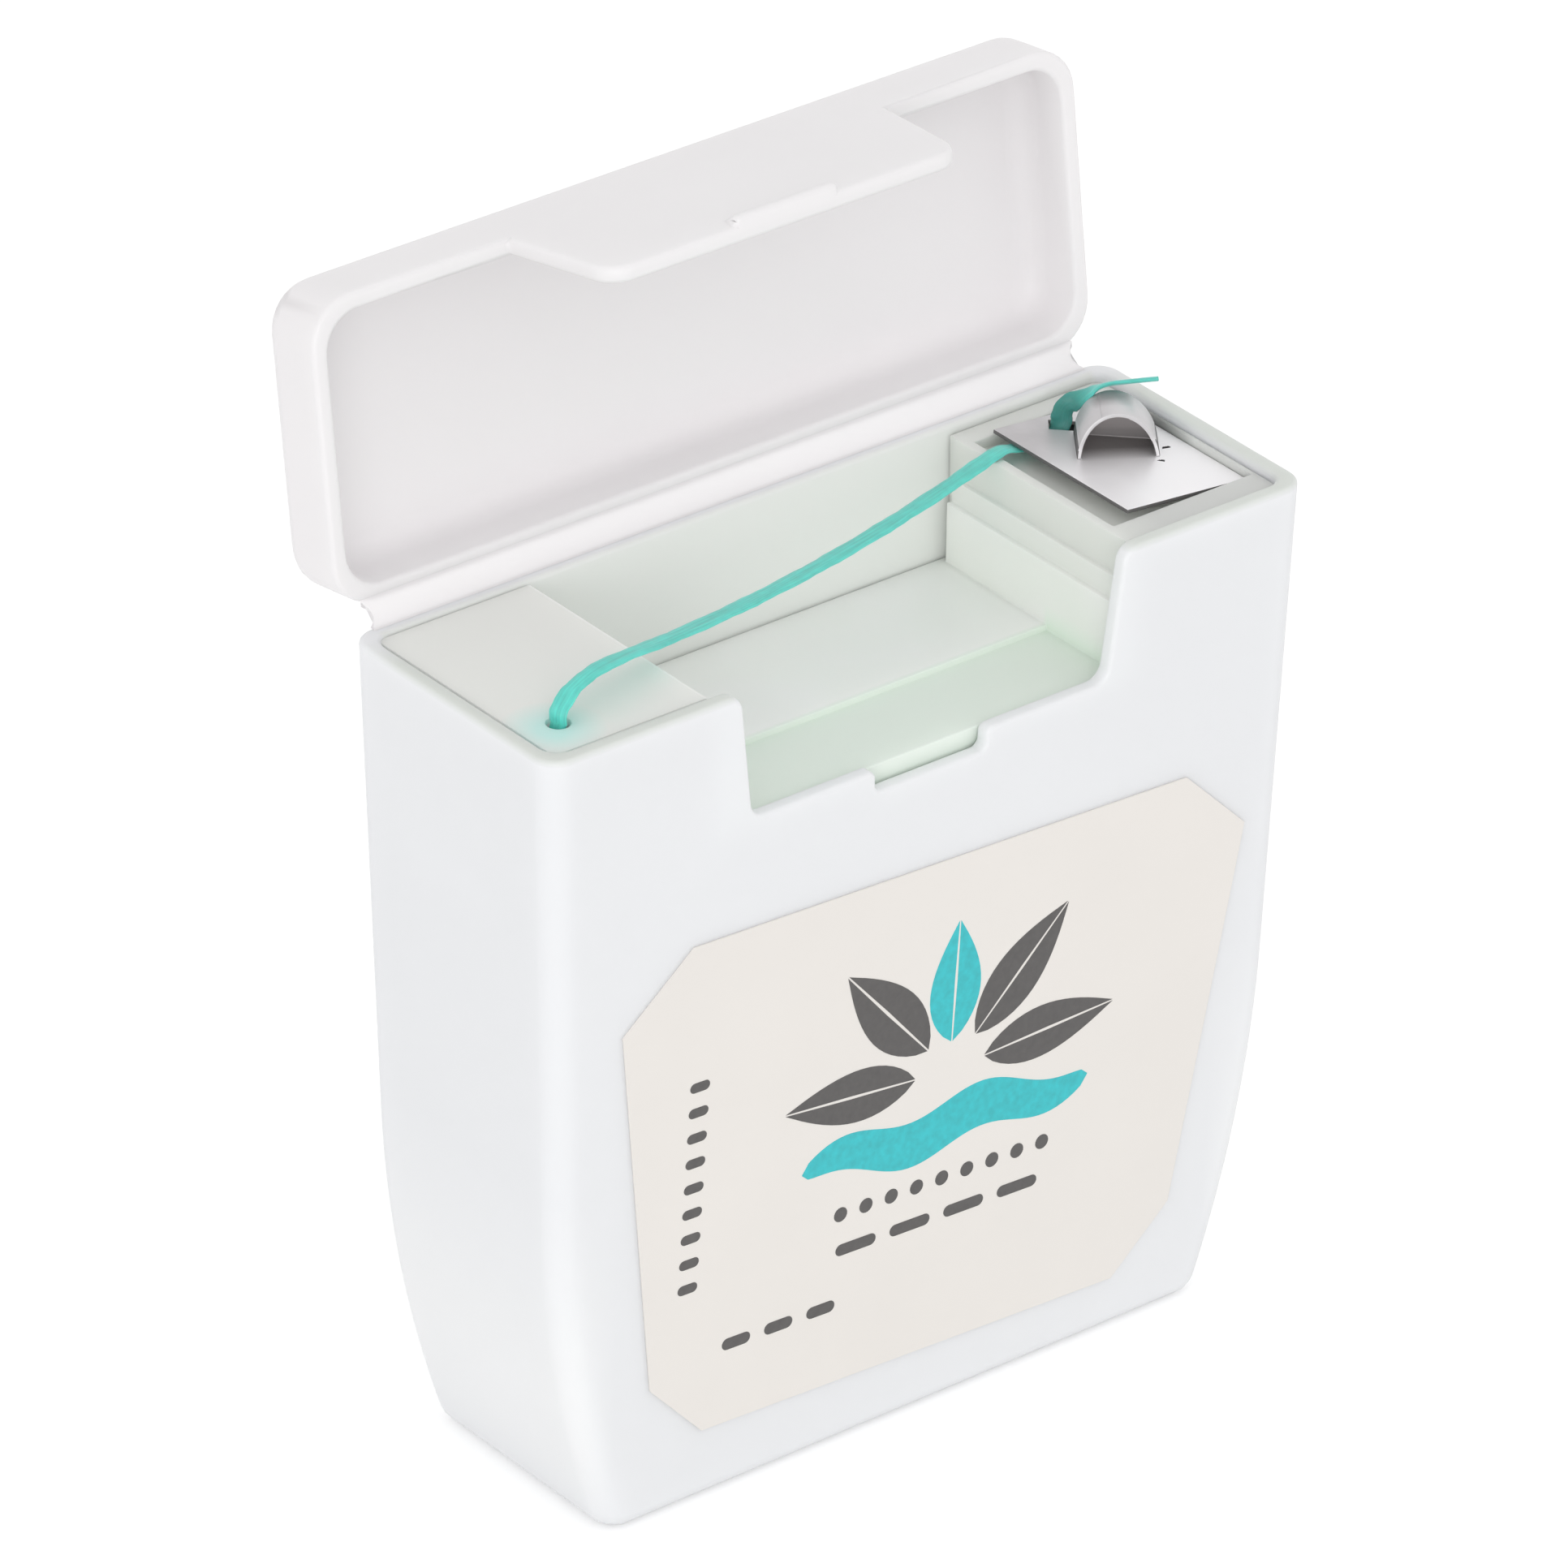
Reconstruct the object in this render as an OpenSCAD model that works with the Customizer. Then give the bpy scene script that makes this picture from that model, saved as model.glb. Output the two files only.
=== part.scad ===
// Flip-top dental floss dispenser, sample size, drawn with its lid open.
// Lengths are in millimetres. The origin is the middle of the flat base.
// X runs from left to right, Y from front to back and Z up.

/* [Case] */
// Width over the rim, left to right
case_w = 42.5; // [38:0.5:50]
// Depth over the rim, front to back
case_d = 14.4; // [13.6:0.1:18]
// Height from the base to the rim
case_h = 41.2; // [39:0.1:50]
// Thickness of the case's walls
wall = 0.8; // [0.6:0.05:1]
// Thickness of the case's bottom
bottom_t = 1; // [0.6:0.1:1.6]
// Radius of the upright corners
corner_r = 1.2; // [1.1:0.1:2]
// Radius of the edge round the base
base_r = 0.8; // [0.3:0.1:1]
// Height below the rim over which the sides run straight
side_straight = 23.8; // [16:0.2:30]
// Lean of the straight part of each side, in degrees
side_draft = 2; // [0:0.1:4]
// Radius of the curve that draws the sides in towards the base
side_r = 57.5; // [50:0.5:90]
// How far the front and the back each lean in between rim and base
front_draft = 0.75; // [0.2:0.05:1]

/* [Notch in the front wall] */
// Width of the notch at the rim
notch_top_w = 21.5; // [16:0.1:24]
// Width of the notch at its bottom
notch_bottom_w = 19.9; // [12:0.1:21]
// Depth of the notch below the rim
notch_depth = 6.5; // [5:0.1:7]
// Radius where the notch meets the rim
notch_top_r = 1.1; // [0.4:0.1:1.6]
// Radius in the notch's bottom corners
notch_bottom_r = 0.8; // [0.3:0.1:1.4]
// Width of the thumb recess in the notch's bottom
thumb_w = 6.2; // [4:0.1:9]
// Depth of the thumb recess
thumb_depth = 1.1; // [0.6:0.1:1.3]
// Radius of the thumb recess's corners
thumb_r = 0.4; // [0.2:0.05:0.5]

/* [Lid] */
// Height of the lid from its rim to its top
lid_h = 3.9; // [3.2:0.1:6]
// Thickness of the lid's walls and top
lid_wall = 0.8; // [0.6:0.05:1]
// Radius of the lid's corners
lid_corner_r = 2.2; // [1.2:0.1:3]
// Radius of the edge round the lid's top
lid_edge_r = 1.1; // [0.5:0.1:1.2]
// Gap left between the closed lid and the case's rim
lid_gap = 0.12; // [0.08:0.01:0.3]
// Gap between the lid's tongue and the notch
tongue_gap = 0.25; // [0.15:0.05:0.5]
// Radius of the tongue's free corners
tongue_r = 1.2; // [0.4:0.1:2]
// Width of the thumb lip on the tongue's outer face
lip_w = 5.6; // [3:0.1:8]
// How far the thumb lip stands out
lip_out = 0.4; // [0.2:0.05:0.8]
// Height of the thumb lip
lip_h = 0.8; // [0.5:0.1:1.5]
// Angle by which the lid is drawn open, from closed
lid_open = 98; // [60:0.5:120]

/* [Living hinge] */
// Distance from the back of the case to the line the lid turns about
hinge_reach = 0.6; // [0.5:0.1:2]
// Width of each edge by which the web is joined to case and lid
web_foot = 0.35; // [0.25:0.05:0.5]
// Distance from the ends of the case to the web
web_inset = 1.2; // [0.8:0.1:3]

/* [Insert] */
// Clearance between the insert and the case's walls
insert_clear = 0.1; // [0.05:0.01:0.2]
// Thickness of the insert's walls
insert_wall = 0.8; // [0.6:0.05:0.9]
// Height of the insert, from the platform down to its skirt's edge
insert_h = 8.2; // [7.8:0.1:9.5]
// Depth of the platform below the rim
platform_drop = 0.1; // [0.05:0.05:0.4]
// Width of the platform
platform_w = 8.35; // [7:0.05:9]
// Depth of the well's floor below the rim
well_depth = 6.5; // [5:0.1:6.8]
// Drop of the front part of the well's floor
well_step = 0.3; // [0.1:0.05:0.5]
// Width of that front part, from the insert's front
well_front = 4.9; // [3:0.1:6]
// Width of the tower
tower_w = 8.7; // [8.4:0.05:10]
// Depth of the tower's top below the rim
tower_drop = 0.4; // [0.2:0.05:0.8]
// Depth of the first shelf on the tower's wall below the rim
shelf_drop = 2.3; // [1:0.1:3]
// How far each shelf stands out
shelf_out = 0.25; // [0.1:0.05:0.5]
// Depth of the tray in the tower's top
tray_depth = 0.55; // [0.4:0.05:1]
// Width of the tray's border at the right
tray_rim = 0.25; // [0.2:0.05:0.5]
// Width of the tray's border at the back
tray_back_rim = 1.15; // [0.5:0.05:1.3]
// Width of the tray's border at the left
tray_left_rim = 0.5; // [0.4:0.05:1]
// Width of the tray's border at the front
tray_front_rim = 1.7; // [1:0.05:1.9]
// Bore of the floss outlet
outlet_d = 1.4; // [1.3:0.1:2.2]
// Distance from the insert's left end to the outlet
outlet_from_left = 1.9; // [1.7:0.1:4]
// Distance from the insert's front to the outlet
outlet_from_front = 2.15; // [1.6:0.05:4]
// Distance of the ledges that carry the insert into the case
ledge_reach = 1; // [0.8:0.1:1.5]
// Length of each ledge
ledge_l = 6; // [3:0.5:9]
// Height of each ledge
ledge_h = 1.2; // [0.8:0.1:2]

/* [Spindle and bobbin] */
// Distance of the spindle to the left of the middle
spindle_left = 1.1; // [0:0.1:4]
// Height of the spindle above the base
spindle_z = 17; // [14:0.5:20]
// Diameter of the spindle
spindle_d = 5; // [4:0.1:6]
// Running clearance of the bobbin on the spindle, on the radius
spindle_clear = 0.06; // [0.03:0.01:0.1]
// Width of the leg that carries the spindle
leg_w = 3.2; // [2.4:0.1:6]
// Thickness of the leg
leg_t = 1.1; // [0.8:0.1:1.4]
// Gap between the leg and the back wall of the case
leg_gap = 0.3; // [0.2:0.05:0.6]
// Diameter of the boss at the foot of the spindle
boss_d = 8; // [7:0.5:10]
// Depth of the rib under the well's floor
rib_h = 1; // [0.5:0.1:2]
// Width of the bobbin over its flanges
bobbin_w = 8; // [6:0.1:8.5]
// Diameter of the bobbin's flanges
flange_d = 16; // [13:0.5:20]
// Thickness of each flange
flange_t = 0.8; // [0.6:0.1:1]
// Diameter of the bobbin's hub
hub_d = 8; // [7.5:0.5:10]
// Free play of the bobbin between leg and flange
bobbin_play = 0.3; // [0.2:0.05:0.4]
// Diameter of the wound floss
winding_d = 14.6; // [10:0.2:18]
// Rounding of the wound floss's edges
winding_r = 0.6; // [0.2:0.1:1]

/* [Cutter] */
// Width of the cutter's plate, left to right
plate_w = 6.9; // [6.6:0.1:7.2]
// Depth of the cutter's plate, front to back
plate_d = 9.4; // [9:0.1:9.6]
// Thickness of the sheet steel
plate_t = 0.2; // [0.15:0.05:0.3]
// Clearance between the plate and the tray's borders
plate_gap = 0.05; // [0.05:0.05:0.2]
// Angle by which the plate rises towards the left
plate_tilt = 5.5; // [3:0.5:6.5]
// Width of the seat that carries the plate
seat_w = 2.4; // [1.5:0.1:2.6]
// Distance from the plate's right edge to the middle of the arch's mouth
arch_from_right = 3.75; // [3.5:0.05:4.1]
// Distance from the plate's front edge to the middle of the arch's mouth
arch_from_front = 4.35; // [3.6:0.05:4.5]
// Width over the arch
arch_w = 3.8; // [3:0.1:4]
// Height under the arch, from the plate's underside
arch_h = 2.2; // [1.6:0.1:2.4]
// Length of the arch along its axis
arch_l = 2.6; // [1.6:0.1:2.8]
// Angle of the arch's axis, from the back towards the right
arch_turn = 36.5; // [20:0.5:45]
// How far the arch's crown leans to the left of the middle of its feet
arch_lean = 0.3; // [0:0.05:0.5]
// Angle by which the arch's mouth is cut askew, its right foot set back
arch_skew = 13.5; // [0:0.5:18]
// Width of the slit behind the arch
slit_w = 1; // [0.8:0.1:1.2]
// How far the slit reaches to the left of the arch
slit_reach = 1.1; // [1:0.1:1.3]

/* [Floss] */
// Width of the floss ribbon
floss_w = 0.95; // [0.6:0.05:1.2]
// Thickness of the floss ribbon
floss_t = 0.24; // [0.12:0.02:0.3]
// Sag of the floss between the platform and the cutter
floss_sag = 0.8; // [0:0.1:1]

/* [Label] */
// Height of the label
label_h = 25.5; // [18:0.1:26]
// Height of the label's middle above the base
label_z = 16; // [14:0.5:18]
// Shift of the label to the right of the middle
label_x = 0.3; // [-0.8:0.1:0.8]
// Angle by which the label is stuck on crooked
label_turn = 2.4; // [0:0.1:3]
// Distance between the upper shoulders and the case's corners
label_margin = 1.8; // [1.4:0.1:3]
// Distance between the lower shoulders and the case's corners
label_low_margin = 2.8; // [1.8:0.1:4]
// Width and height of the upper corners' cut
label_cut = [3.7, 3.4];
// Width and height of the lower corners' cut
label_low_cut = [3.1, 3.1];
// Thickness of the label
label_t = 0.1; // [0.05:0.01:0.2]

/* [Hidden] */

// Overrun of a cut past the face it opens
over = 0.5;
// Steps in a quarter turn of a corner, in a rounded edge and along the curved sides
corner_steps = 8;
edge_steps = 4;
curve_steps = 16;
// Sides of the floss ribbon
floss_sides = 8;
// Steps of the arch from foot to foot
arch_steps = 24;
// Points of the floss between winding and outlet, and between platform and tower
feed_points = 10;
span_points = 9;

case_colour = [0.93, 0.93, 0.94];
insert_colour = [0.82, 0.86, 0.81];
steel_colour = [0.78, 0.78, 0.8];
floss_colour = [0.36, 0.8, 0.75];
bobbin_colour = [0.9, 0.9, 0.88];
label_colour = [0.93, 0.91, 0.89];

// Heights of the insert's levels
platform_z = case_h - platform_drop;
well_z = case_h - well_depth;
tower_z = case_h - tower_drop;
tray_z = tower_z - tray_depth;
insert_z = case_h - insert_h;
// Inset of the insert's faces from the outside of the case
insert_in = wall + insert_clear;
insert_hw = case_w / 2 - insert_in;
insert_hd = case_d / 2 - insert_in;
well_left = platform_w - insert_hw;
well_right = insert_hw - tower_w;
// Line about which the lid turns
hinge_y = case_d / 2 + hinge_reach;
hinge_z = case_h + lid_gap;
// Faces of the leg and places of the bobbin along the spindle
leg_back = case_d / 2 - wall - front_draft - leg_gap;
leg_front = leg_back - leg_t;
bobbin_back = leg_front - bobbin_play;
bobbin_front = bobbin_back - bobbin_w;

// Inset of the sides, and of the front and back, at height z
function side_inset(z) =
    let (depth = max(case_h - z, 0))
    let (below = max(depth - side_straight, 0))
    let (lean = asin(min(sin(side_draft) + below / side_r, 1)))
    min(depth, side_straight) * tan(side_draft) + side_r * (cos(side_draft) - cos(lean));
function face_inset(z) = front_draft * max(case_h - z, 0) / case_h;
function half_w(z) = case_w / 2 - side_inset(z);
function half_d(z) = case_d / 2 - face_inset(z);

// Points of one level: a rectangle of half sizes a and b with corners of radius r, at height z
function ring(a, b, r, z) = [
    for (quarter = [0:3])
        for (i = [0:corner_steps])
            let (turn = 90 * (quarter + i / corner_steps))
            let (sx = (quarter == 0 || quarter == 3) ? 1 : -1)
            let (sy = quarter < 2 ? 1 : -1)
            [sx * (a - r) + r * cos(turn), sy * (b - r) + r * sin(turn), z]
];

// Levels of a shell as pairs of height and further inset, with rounded edges of radii low_r and high_r
function low_edge(z, r) = r == 0 ? [[z, 0]] : [
    for (i = [0:edge_steps])
        let (turn = 90 * i / edge_steps)
        [z + r * (1 - cos(turn)), r * (1 - sin(turn))]
];
function high_edge(z, r) = r == 0 ? [[z, 0]] : [
    for (i = [0:edge_steps])
        let (turn = 90 * i / edge_steps)
        [z - r * (1 - sin(turn)), r * (1 - cos(turn))]
];
function curve_levels(low, high) =
    let (top = case_h - side_straight)
    [for (i = [1:curve_steps]) let (z = top * i / curve_steps) if (z > low && z < high) [z, 0]];
function rim_level(low, high) = low < case_h && case_h < high ? [[case_h, 0]] : [];
function levels(low, high, low_r, high_r) = concat(
    low_edge(low, low_r),
    curve_levels(low + low_r, high - high_r),
    rim_level(low + low_r, high - high_r),
    high_edge(high, high_r)
);

// Solid inside the case's outline, its faces moved in by inset, between two heights
module shell(inset, low, high, low_r = 0, high_r = 0, corner = corner_r) {
    rows = levels(low, high, low_r, high_r);
    count = 4 * (corner_steps + 1);
    radius = max(corner - inset, corner / 4);
    points = [for (row = rows)
        each ring(half_w(row[0]) - inset - row[1], half_d(row[0]) - inset - row[1],
                  max(radius - row[1], radius / 4), row[0])];
    last = len(rows) - 1;
    sides = [for (k = [0:last - 1]) for (i = [0:count - 1])
        let (j = (i + 1) % count)
        each [[k * count + i, (k + 1) * count + i, (k + 1) * count + j],
              [k * count + i, (k + 1) * count + j, k * count + j]]];
    polyhedron(points, concat(
        [[for (i = [0:count - 1]) i]],
        [[for (i = [count - 1:-1:0]) last * count + i]],
        sides
    ), convexity = 4);
}

// Arc of radius r in the corner at p between the points before and after it
function unit(v) = v / norm(v);
function corner_arc(before, p, after, r) = r == 0 ? [p] :
    let (u = unit(before - p))
    let (v = unit(after - p))
    let (opening = acos(u * v))
    let (middle = p + unit(u + v) * r / sin(opening / 2))
    let (from = p + u * r / tan(opening / 2) - middle)
    let (to = p + v * r / tan(opening / 2) - middle)
    let (sweep = 180 - opening)
    [for (i = [0:corner_steps])
        let (share = i / corner_steps)
        middle + (from * sin((1 - share) * sweep) + to * sin(share * sweep)) / sin(sweep)];
// Outline with each corner rounded by its own radius; an entry is a point and its radius
function rounded(corners) = [
    for (i = [0:len(corners) - 1])
        each corner_arc(corners[(i + len(corners) - 1) % len(corners)][0], corners[i][0],
                        corners[(i + 1) % len(corners)][0], corners[i][1])
];
// The left half of an outline, followed by its mirror image
function with_mirror(half) = concat(half, [for (i = [len(half) - 1:-1:0]) [[-half[i][0].x, half[i][0].y], half[i][1]]]);

// Stretch of the outline's front wall, between its outline seen from the front and the middle of the case
module through_front(outline) {
    rotate([90, 0, 0])
        linear_extrude(case_d)
            polygon(outline);
}

module notch() {
    bottom = case_h - notch_depth;
    recess = bottom - thumb_depth;
    through_front(rounded(with_mirror([
        [[-notch_top_w / 2 - 2 * notch_top_r, case_h + over], 0],
        [[-notch_top_w / 2 - 2 * notch_top_r, case_h], 0],
        [[-notch_top_w / 2, case_h], notch_top_r],
        [[-notch_bottom_w / 2, bottom], notch_bottom_r],
        [[-thumb_w / 2, bottom], thumb_r],
        [[-thumb_w / 2, recess], thumb_r]
    ])));
}

// Ledges inside the case's ends, on which the insert stands
module ledges() {
    inner = half_w(insert_z) - wall;
    for (side = [-1, 1])
        translate([side * (inner + (wall / 2 - ledge_reach) / 2), 0, insert_z - ledge_h / 2])
            cube([ledge_reach + wall / 2, ledge_l, ledge_h], center = true);
}

module case() {
    color(case_colour) {
        difference() {
            shell(0, 0, case_h, base_r);
            shell(wall, bottom_t, case_h + over);
            notch();
        }
        ledges();
    }
}

// Moves what is drawn in the closed lid's place to the open lid's place
module opened() {
    translate([0, hinge_y, hinge_z])
        rotate([-lid_open, 0, 0])
            translate([0, -hinge_y, -hinge_z])
                children();
}

// Height of the tongue's free edge when the lid is closed
tongue_z = case_h - notch_depth + tongue_gap;

module tongue() {
    root = case_h + lid_h - lid_edge_r;
    intersection() {
        difference() {
            shell(0, tongue_z - over, root);
            shell(lid_wall, tongue_z - 2 * over, root + over);
        }
        through_front(rounded(with_mirror([
            [[tongue_gap - notch_top_w / 2, root + over], 0],
            [[tongue_gap - notch_top_w / 2, case_h], 0],
            [[tongue_gap - notch_bottom_w / 2, tongue_z], tongue_r]
        ])));
    }
}

// Lip along the tongue's free edge, for a fingernail
module thumb_lip() {
    face = -half_d(tongue_z);
    translate([-lip_w / 2, 0, 0])
        rotate([90, 0, 90])
            linear_extrude(lip_w)
                polygon([
                    [face + lid_wall / 2, tongue_z],
                    [face - lip_out, tongue_z],
                    [face - lip_out, tongue_z + lip_h / 2],
                    [face + lid_wall / 2, tongue_z + 2 * lip_h]
                ]);
}

module lid() {
    color(case_colour)
        opened() {
            difference() {
                shell(0, hinge_z, case_h + lid_h, 0, lid_edge_r, lid_corner_r);
                shell(lid_wall, case_h - over, case_h + lid_h - lid_wall, 0, lid_wall / 2, lid_corner_r);
            }
            tongue();
            thumb_lip();
        }
}

// Where a point of the closed lid's section lies when the lid is open, as Y and Z
function opened_at(y, z) =
    let (dy = y - hinge_y)
    let (dz = z - hinge_z)
    [hinge_y + dy * cos(lid_open) + dz * sin(lid_open), hinge_z - dy * sin(lid_open) + dz * cos(lid_open)];

module living_hinge() {
    back = case_d / 2;
    web_l = case_w - 2 * web_inset;
    color(case_colour)
        translate([-web_l / 2, 0, 0])
            rotate([90, 0, 90])
                linear_extrude(web_l)
                    polygon([
                        [back - web_foot, case_h],
                        [back, case_h],
                        opened_at(back, hinge_z),
                        opened_at(back - web_foot, hinge_z)
                    ]);
}

// Block across the whole depth of the case between two places along X and two heights
module block(x1, x2, z1, z2, y1 = -case_d, y2 = case_d) {
    translate([x1, y1, z1])
        cube([x2 - x1, y2 - y1, z2 - z1]);
}

// Hollow under one part of the insert, inside its skirt
module hollow(x1, x2, top) {
    inner_w = half_w(insert_z) - insert_in - insert_wall;
    inner_d = half_d(insert_z) - insert_in - insert_wall;
    block(max(x1, -inner_w), min(x2, inner_w), insert_z - over, top, -inner_d, inner_d);
}

// Right, back and front edges of the tray and of the plate in it
tray_right = insert_hw - tray_rim;
tray_back = insert_hd - tray_back_rim;
plate_right = tray_right - plate_gap;
plate_back = tray_back - plate_gap;
plate_front = plate_back - plate_d;

// Wedge in the tray on which the cutter's plate lies
module plate_seat() {
    translate([plate_right, plate_back, tray_z])
        rotate([90, 0, 0])
            linear_extrude(plate_d)
                polygon([[0, -insert_wall / 2], [0, 0], [-seat_w, seat_w * tan(plate_tilt)], [-seat_w, -insert_wall / 2]]);
}

// Leg down the back of the case with the spindle at its foot, and the rib that carries it
module spindle_leg() {
    under_floor = well_z - well_step - insert_wall;
    left = -spindle_left - leg_w / 2;
    right = left + leg_w;
    block(left, right, spindle_z, under_floor + insert_wall / 2, leg_front, leg_back);
    block(left, right, under_floor - rib_h, under_floor + insert_wall / 2, well_front - insert_hd, leg_back);
    translate([-spindle_left, leg_back, spindle_z])
        rotate([90, 0, 0]) {
            cylinder(h = leg_t, d = boss_d, $fn = 64);
            cylinder(h = leg_t + bobbin_play + bobbin_w + bobbin_play, d = spindle_d, $fn = 64);
        }
}

module insert() {
    front_end = well_front - insert_hd;
    color(insert_colour)
        difference() {
            union() {
                difference() {
                    shell(insert_in, insert_z, platform_z);
                    block(well_left, well_right, well_z, case_h);
                    block(well_left, well_right, well_z - well_step, case_h, -case_d, front_end);
                    block(well_right - over, case_w, tower_z, case_h);
                    block(well_right + tray_left_rim, tray_right, tray_z, case_h,
                          tray_front_rim - insert_hd, tray_back);
                    hollow(-case_w, well_left - insert_wall, platform_z - insert_wall);
                    hollow(well_right + insert_wall, case_w, tray_z - insert_wall);
                    hollow(well_left - 2 * insert_wall, well_right + 2 * insert_wall,
                           well_z - well_step - insert_wall);
                }
                for (shelf = [1, 2])
                    block(well_right - shelf * shelf_out, well_right + insert_wall / 2, well_z - insert_wall / 2,
                          case_h - shelf_drop - shelf * shelf_drop / 2 + shelf_drop / 2,
                          -insert_hd + over, insert_hd - over);
                plate_seat();
                spindle_leg();
            }
            translate([outlet_from_left - insert_hw, outlet_from_front - insert_hd, platform_z - insert_wall - over])
                cylinder(h = insert_wall + 2 * over, d = outlet_d, $fn = 48);
        }
}

// Section of the arch: a leaning half oval of sheet, feet on the plate's underside
module arch_section() {
    function oval(turn, inset) =
        [(arch_w / 2 - inset) * cos(turn) - arch_lean * sin(turn), (arch_h + plate_t - inset) * sin(turn)];
    polygon(concat(
        [for (i = [0:arch_steps]) oval(180 * i / arch_steps, 0)],
        [for (i = [arch_steps:-1:0]) oval(180 * i / arch_steps, plate_t)]
    ));
}

// Plan of a stretch of the given half width behind the arch's mouth
module behind_mouth(half, back) {
    polygon([[-half, -half * tan(arch_skew)], [half, half * tan(arch_skew)], [half, back], [-half, back]]);
}

// The arch's sheet, from its mouth to its back edge
module arch() {
    intersection() {
        translate([0, arch_l, 0])
            rotate([90, 0, 0])
                linear_extrude(arch_l + arch_w)
                    arch_section();
        linear_extrude(arch_h + 2 * plate_t)
            behind_mouth(arch_w, arch_l);
    }
}

// The hole left by the arch's metal, and the slit behind it that leads to the left
module arch_hole() {
    translate([0, 0, -over])
        linear_extrude(plate_t + 2 * over)
            behind_mouth(arch_w / 2 - plate_t, arch_l + slit_w);
    translate([-arch_w / 2 - slit_reach, arch_l, -over])
        cube([arch_w / 2 + slit_reach, slit_w, plate_t + 2 * over]);
}

module cutter_plate() {
    color(steel_colour)
        translate([plate_right, plate_front, tray_z])
            rotate([0, plate_tilt, 0]) {
                difference() {
                    translate([-plate_w, 0, 0])
                        cube([plate_w, plate_d, plate_t]);
                    translate([-arch_from_right, arch_from_front, 0])
                        rotate([0, 0, -arch_turn])
                            arch_hole();
                }
                translate([-arch_from_right, arch_from_front, 0])
                    rotate([0, 0, -arch_turn])
                        arch();
            }
}

// Turns a section drawn as radius and width about the spindle's axis
module about_spindle() {
    translate([-spindle_left, bobbin_front, spindle_z])
        rotate([-90, 0, 0])
            rotate_extrude($fn = 96)
                children();
}

module bobbin_core() {
    bore = spindle_d / 2 + spindle_clear;
    color(bobbin_colour)
        about_spindle()
            polygon([
                [bore, 0],
                [flange_d / 2, 0],
                [flange_d / 2, flange_t],
                [hub_d / 2, flange_t],
                [hub_d / 2, bobbin_w - flange_t],
                [flange_d / 2, bobbin_w - flange_t],
                [flange_d / 2, bobbin_w],
                [bore, bobbin_w]
            ]);
}

module floss_winding() {
    color(floss_colour)
        about_spindle()
            polygon(rounded([
                [[hub_d / 2, flange_t], 0],
                [[winding_d / 2, flange_t], winding_r],
                [[winding_d / 2, bobbin_w - flange_t], winding_r],
                [[hub_d / 2, bobbin_w - flange_t], 0]
            ]));
}

// Mouths of the outlet and of the arch. Here and in the routes of the floss an entry is X, Y and Z of the
// middle of the ribbon, and the plan angle and the rise of its width.
outlet_at = [outlet_from_left - insert_hw, outlet_from_front - insert_hd, platform_z, 0, 0];
arch_at = [plate_right - arch_from_right, plate_front + arch_from_front, tray_z, 0, 0];

// Floss that comes out on the platform, from the outlet's mouth
from_outlet = [
    [0, 0, 0, 105, 0],
    [0, 0, 0.5, 105, 0],
    [0.4, 0.1, 0.9, 105, 0],
    [1, 0.25, 1.25, 105, 0],
    [2.4, 0.6, 1.45, 105, 0],
    [4.2, 1.05, 1.3, 105, 0]
];
// Floss over the tower's edge, under the plate, up through the slit and round the arch, from the arch's mouth
round_arch = [
    [-4.65, 3.35, 0.7, 103, 0],
    [-3.75, 3.55, 0.68, 103, 0],
    [-2.95, 3.65, 0.45, 103, 0],
    [-1.65, 3.85, 0.3, 103, 0],
    [-0.75, 3.9, 0.27, 103, 0],
    [-0.3, 3.93, 0.38, 112, 0],
    [-0.1, 3.93, 0.75, 128, 0],
    [-0.08, 3.9, 1.15, 140, 0],
    [0, 3.75, 1.6, 138, -5],
    [0.35, 3.4, 1.95, 120, -12],
    [0.76, 3.08, 2.3, 95, -20],
    [1.1, 2.8, 2.6, 70, -27],
    [1.5, 2.5, 2.77, 52, -30],
    [1.95, 2.2, 2.83, 51, -30],
    [2.57, 1.72, 2.93, 51, -30],
    [3.25, 1.25, 3, 51, -30]
];

// Point between two entries, lowered where the floss sags
function between(from, to, share, sag = 0) = from + (to - from) * share - [0, 0, 4 * sag * share * (1 - share), 0, 0];

// Route of the floss inside the case: off the winding on a tangent to the outlet, then up through it
function feed_route() =
    let (under = outlet_at + [0, 0, -insert_wall - floss_t, 105, 0])
    let (run = [under.x + spindle_left, under.z - spindle_z])
    let (reach = winding_d / 2 + floss_t)
    let (turn = atan2(run.y, run.x) + acos(reach / norm(run)))
    let (off = [reach * cos(turn) - spindle_left, (bobbin_front + bobbin_back) / 2, reach * sin(turn) + spindle_z, 90, 0])
    concat([for (i = [0:feed_points]) between(off, under, i / feed_points)], [outlet_at + from_outlet[0]]);

// Route of the floss outside the case, from the outlet to its cut end
function strand_route() =
    let (first = [for (entry = from_outlet) outlet_at + entry])
    let (final = [for (entry = round_arch) arch_at + entry])
    concat(
        first,
        [for (i = [1:span_points])
            between(first[len(first) - 1], final[0], i / (span_points + 1), floss_sag)],
        final
    );

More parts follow.
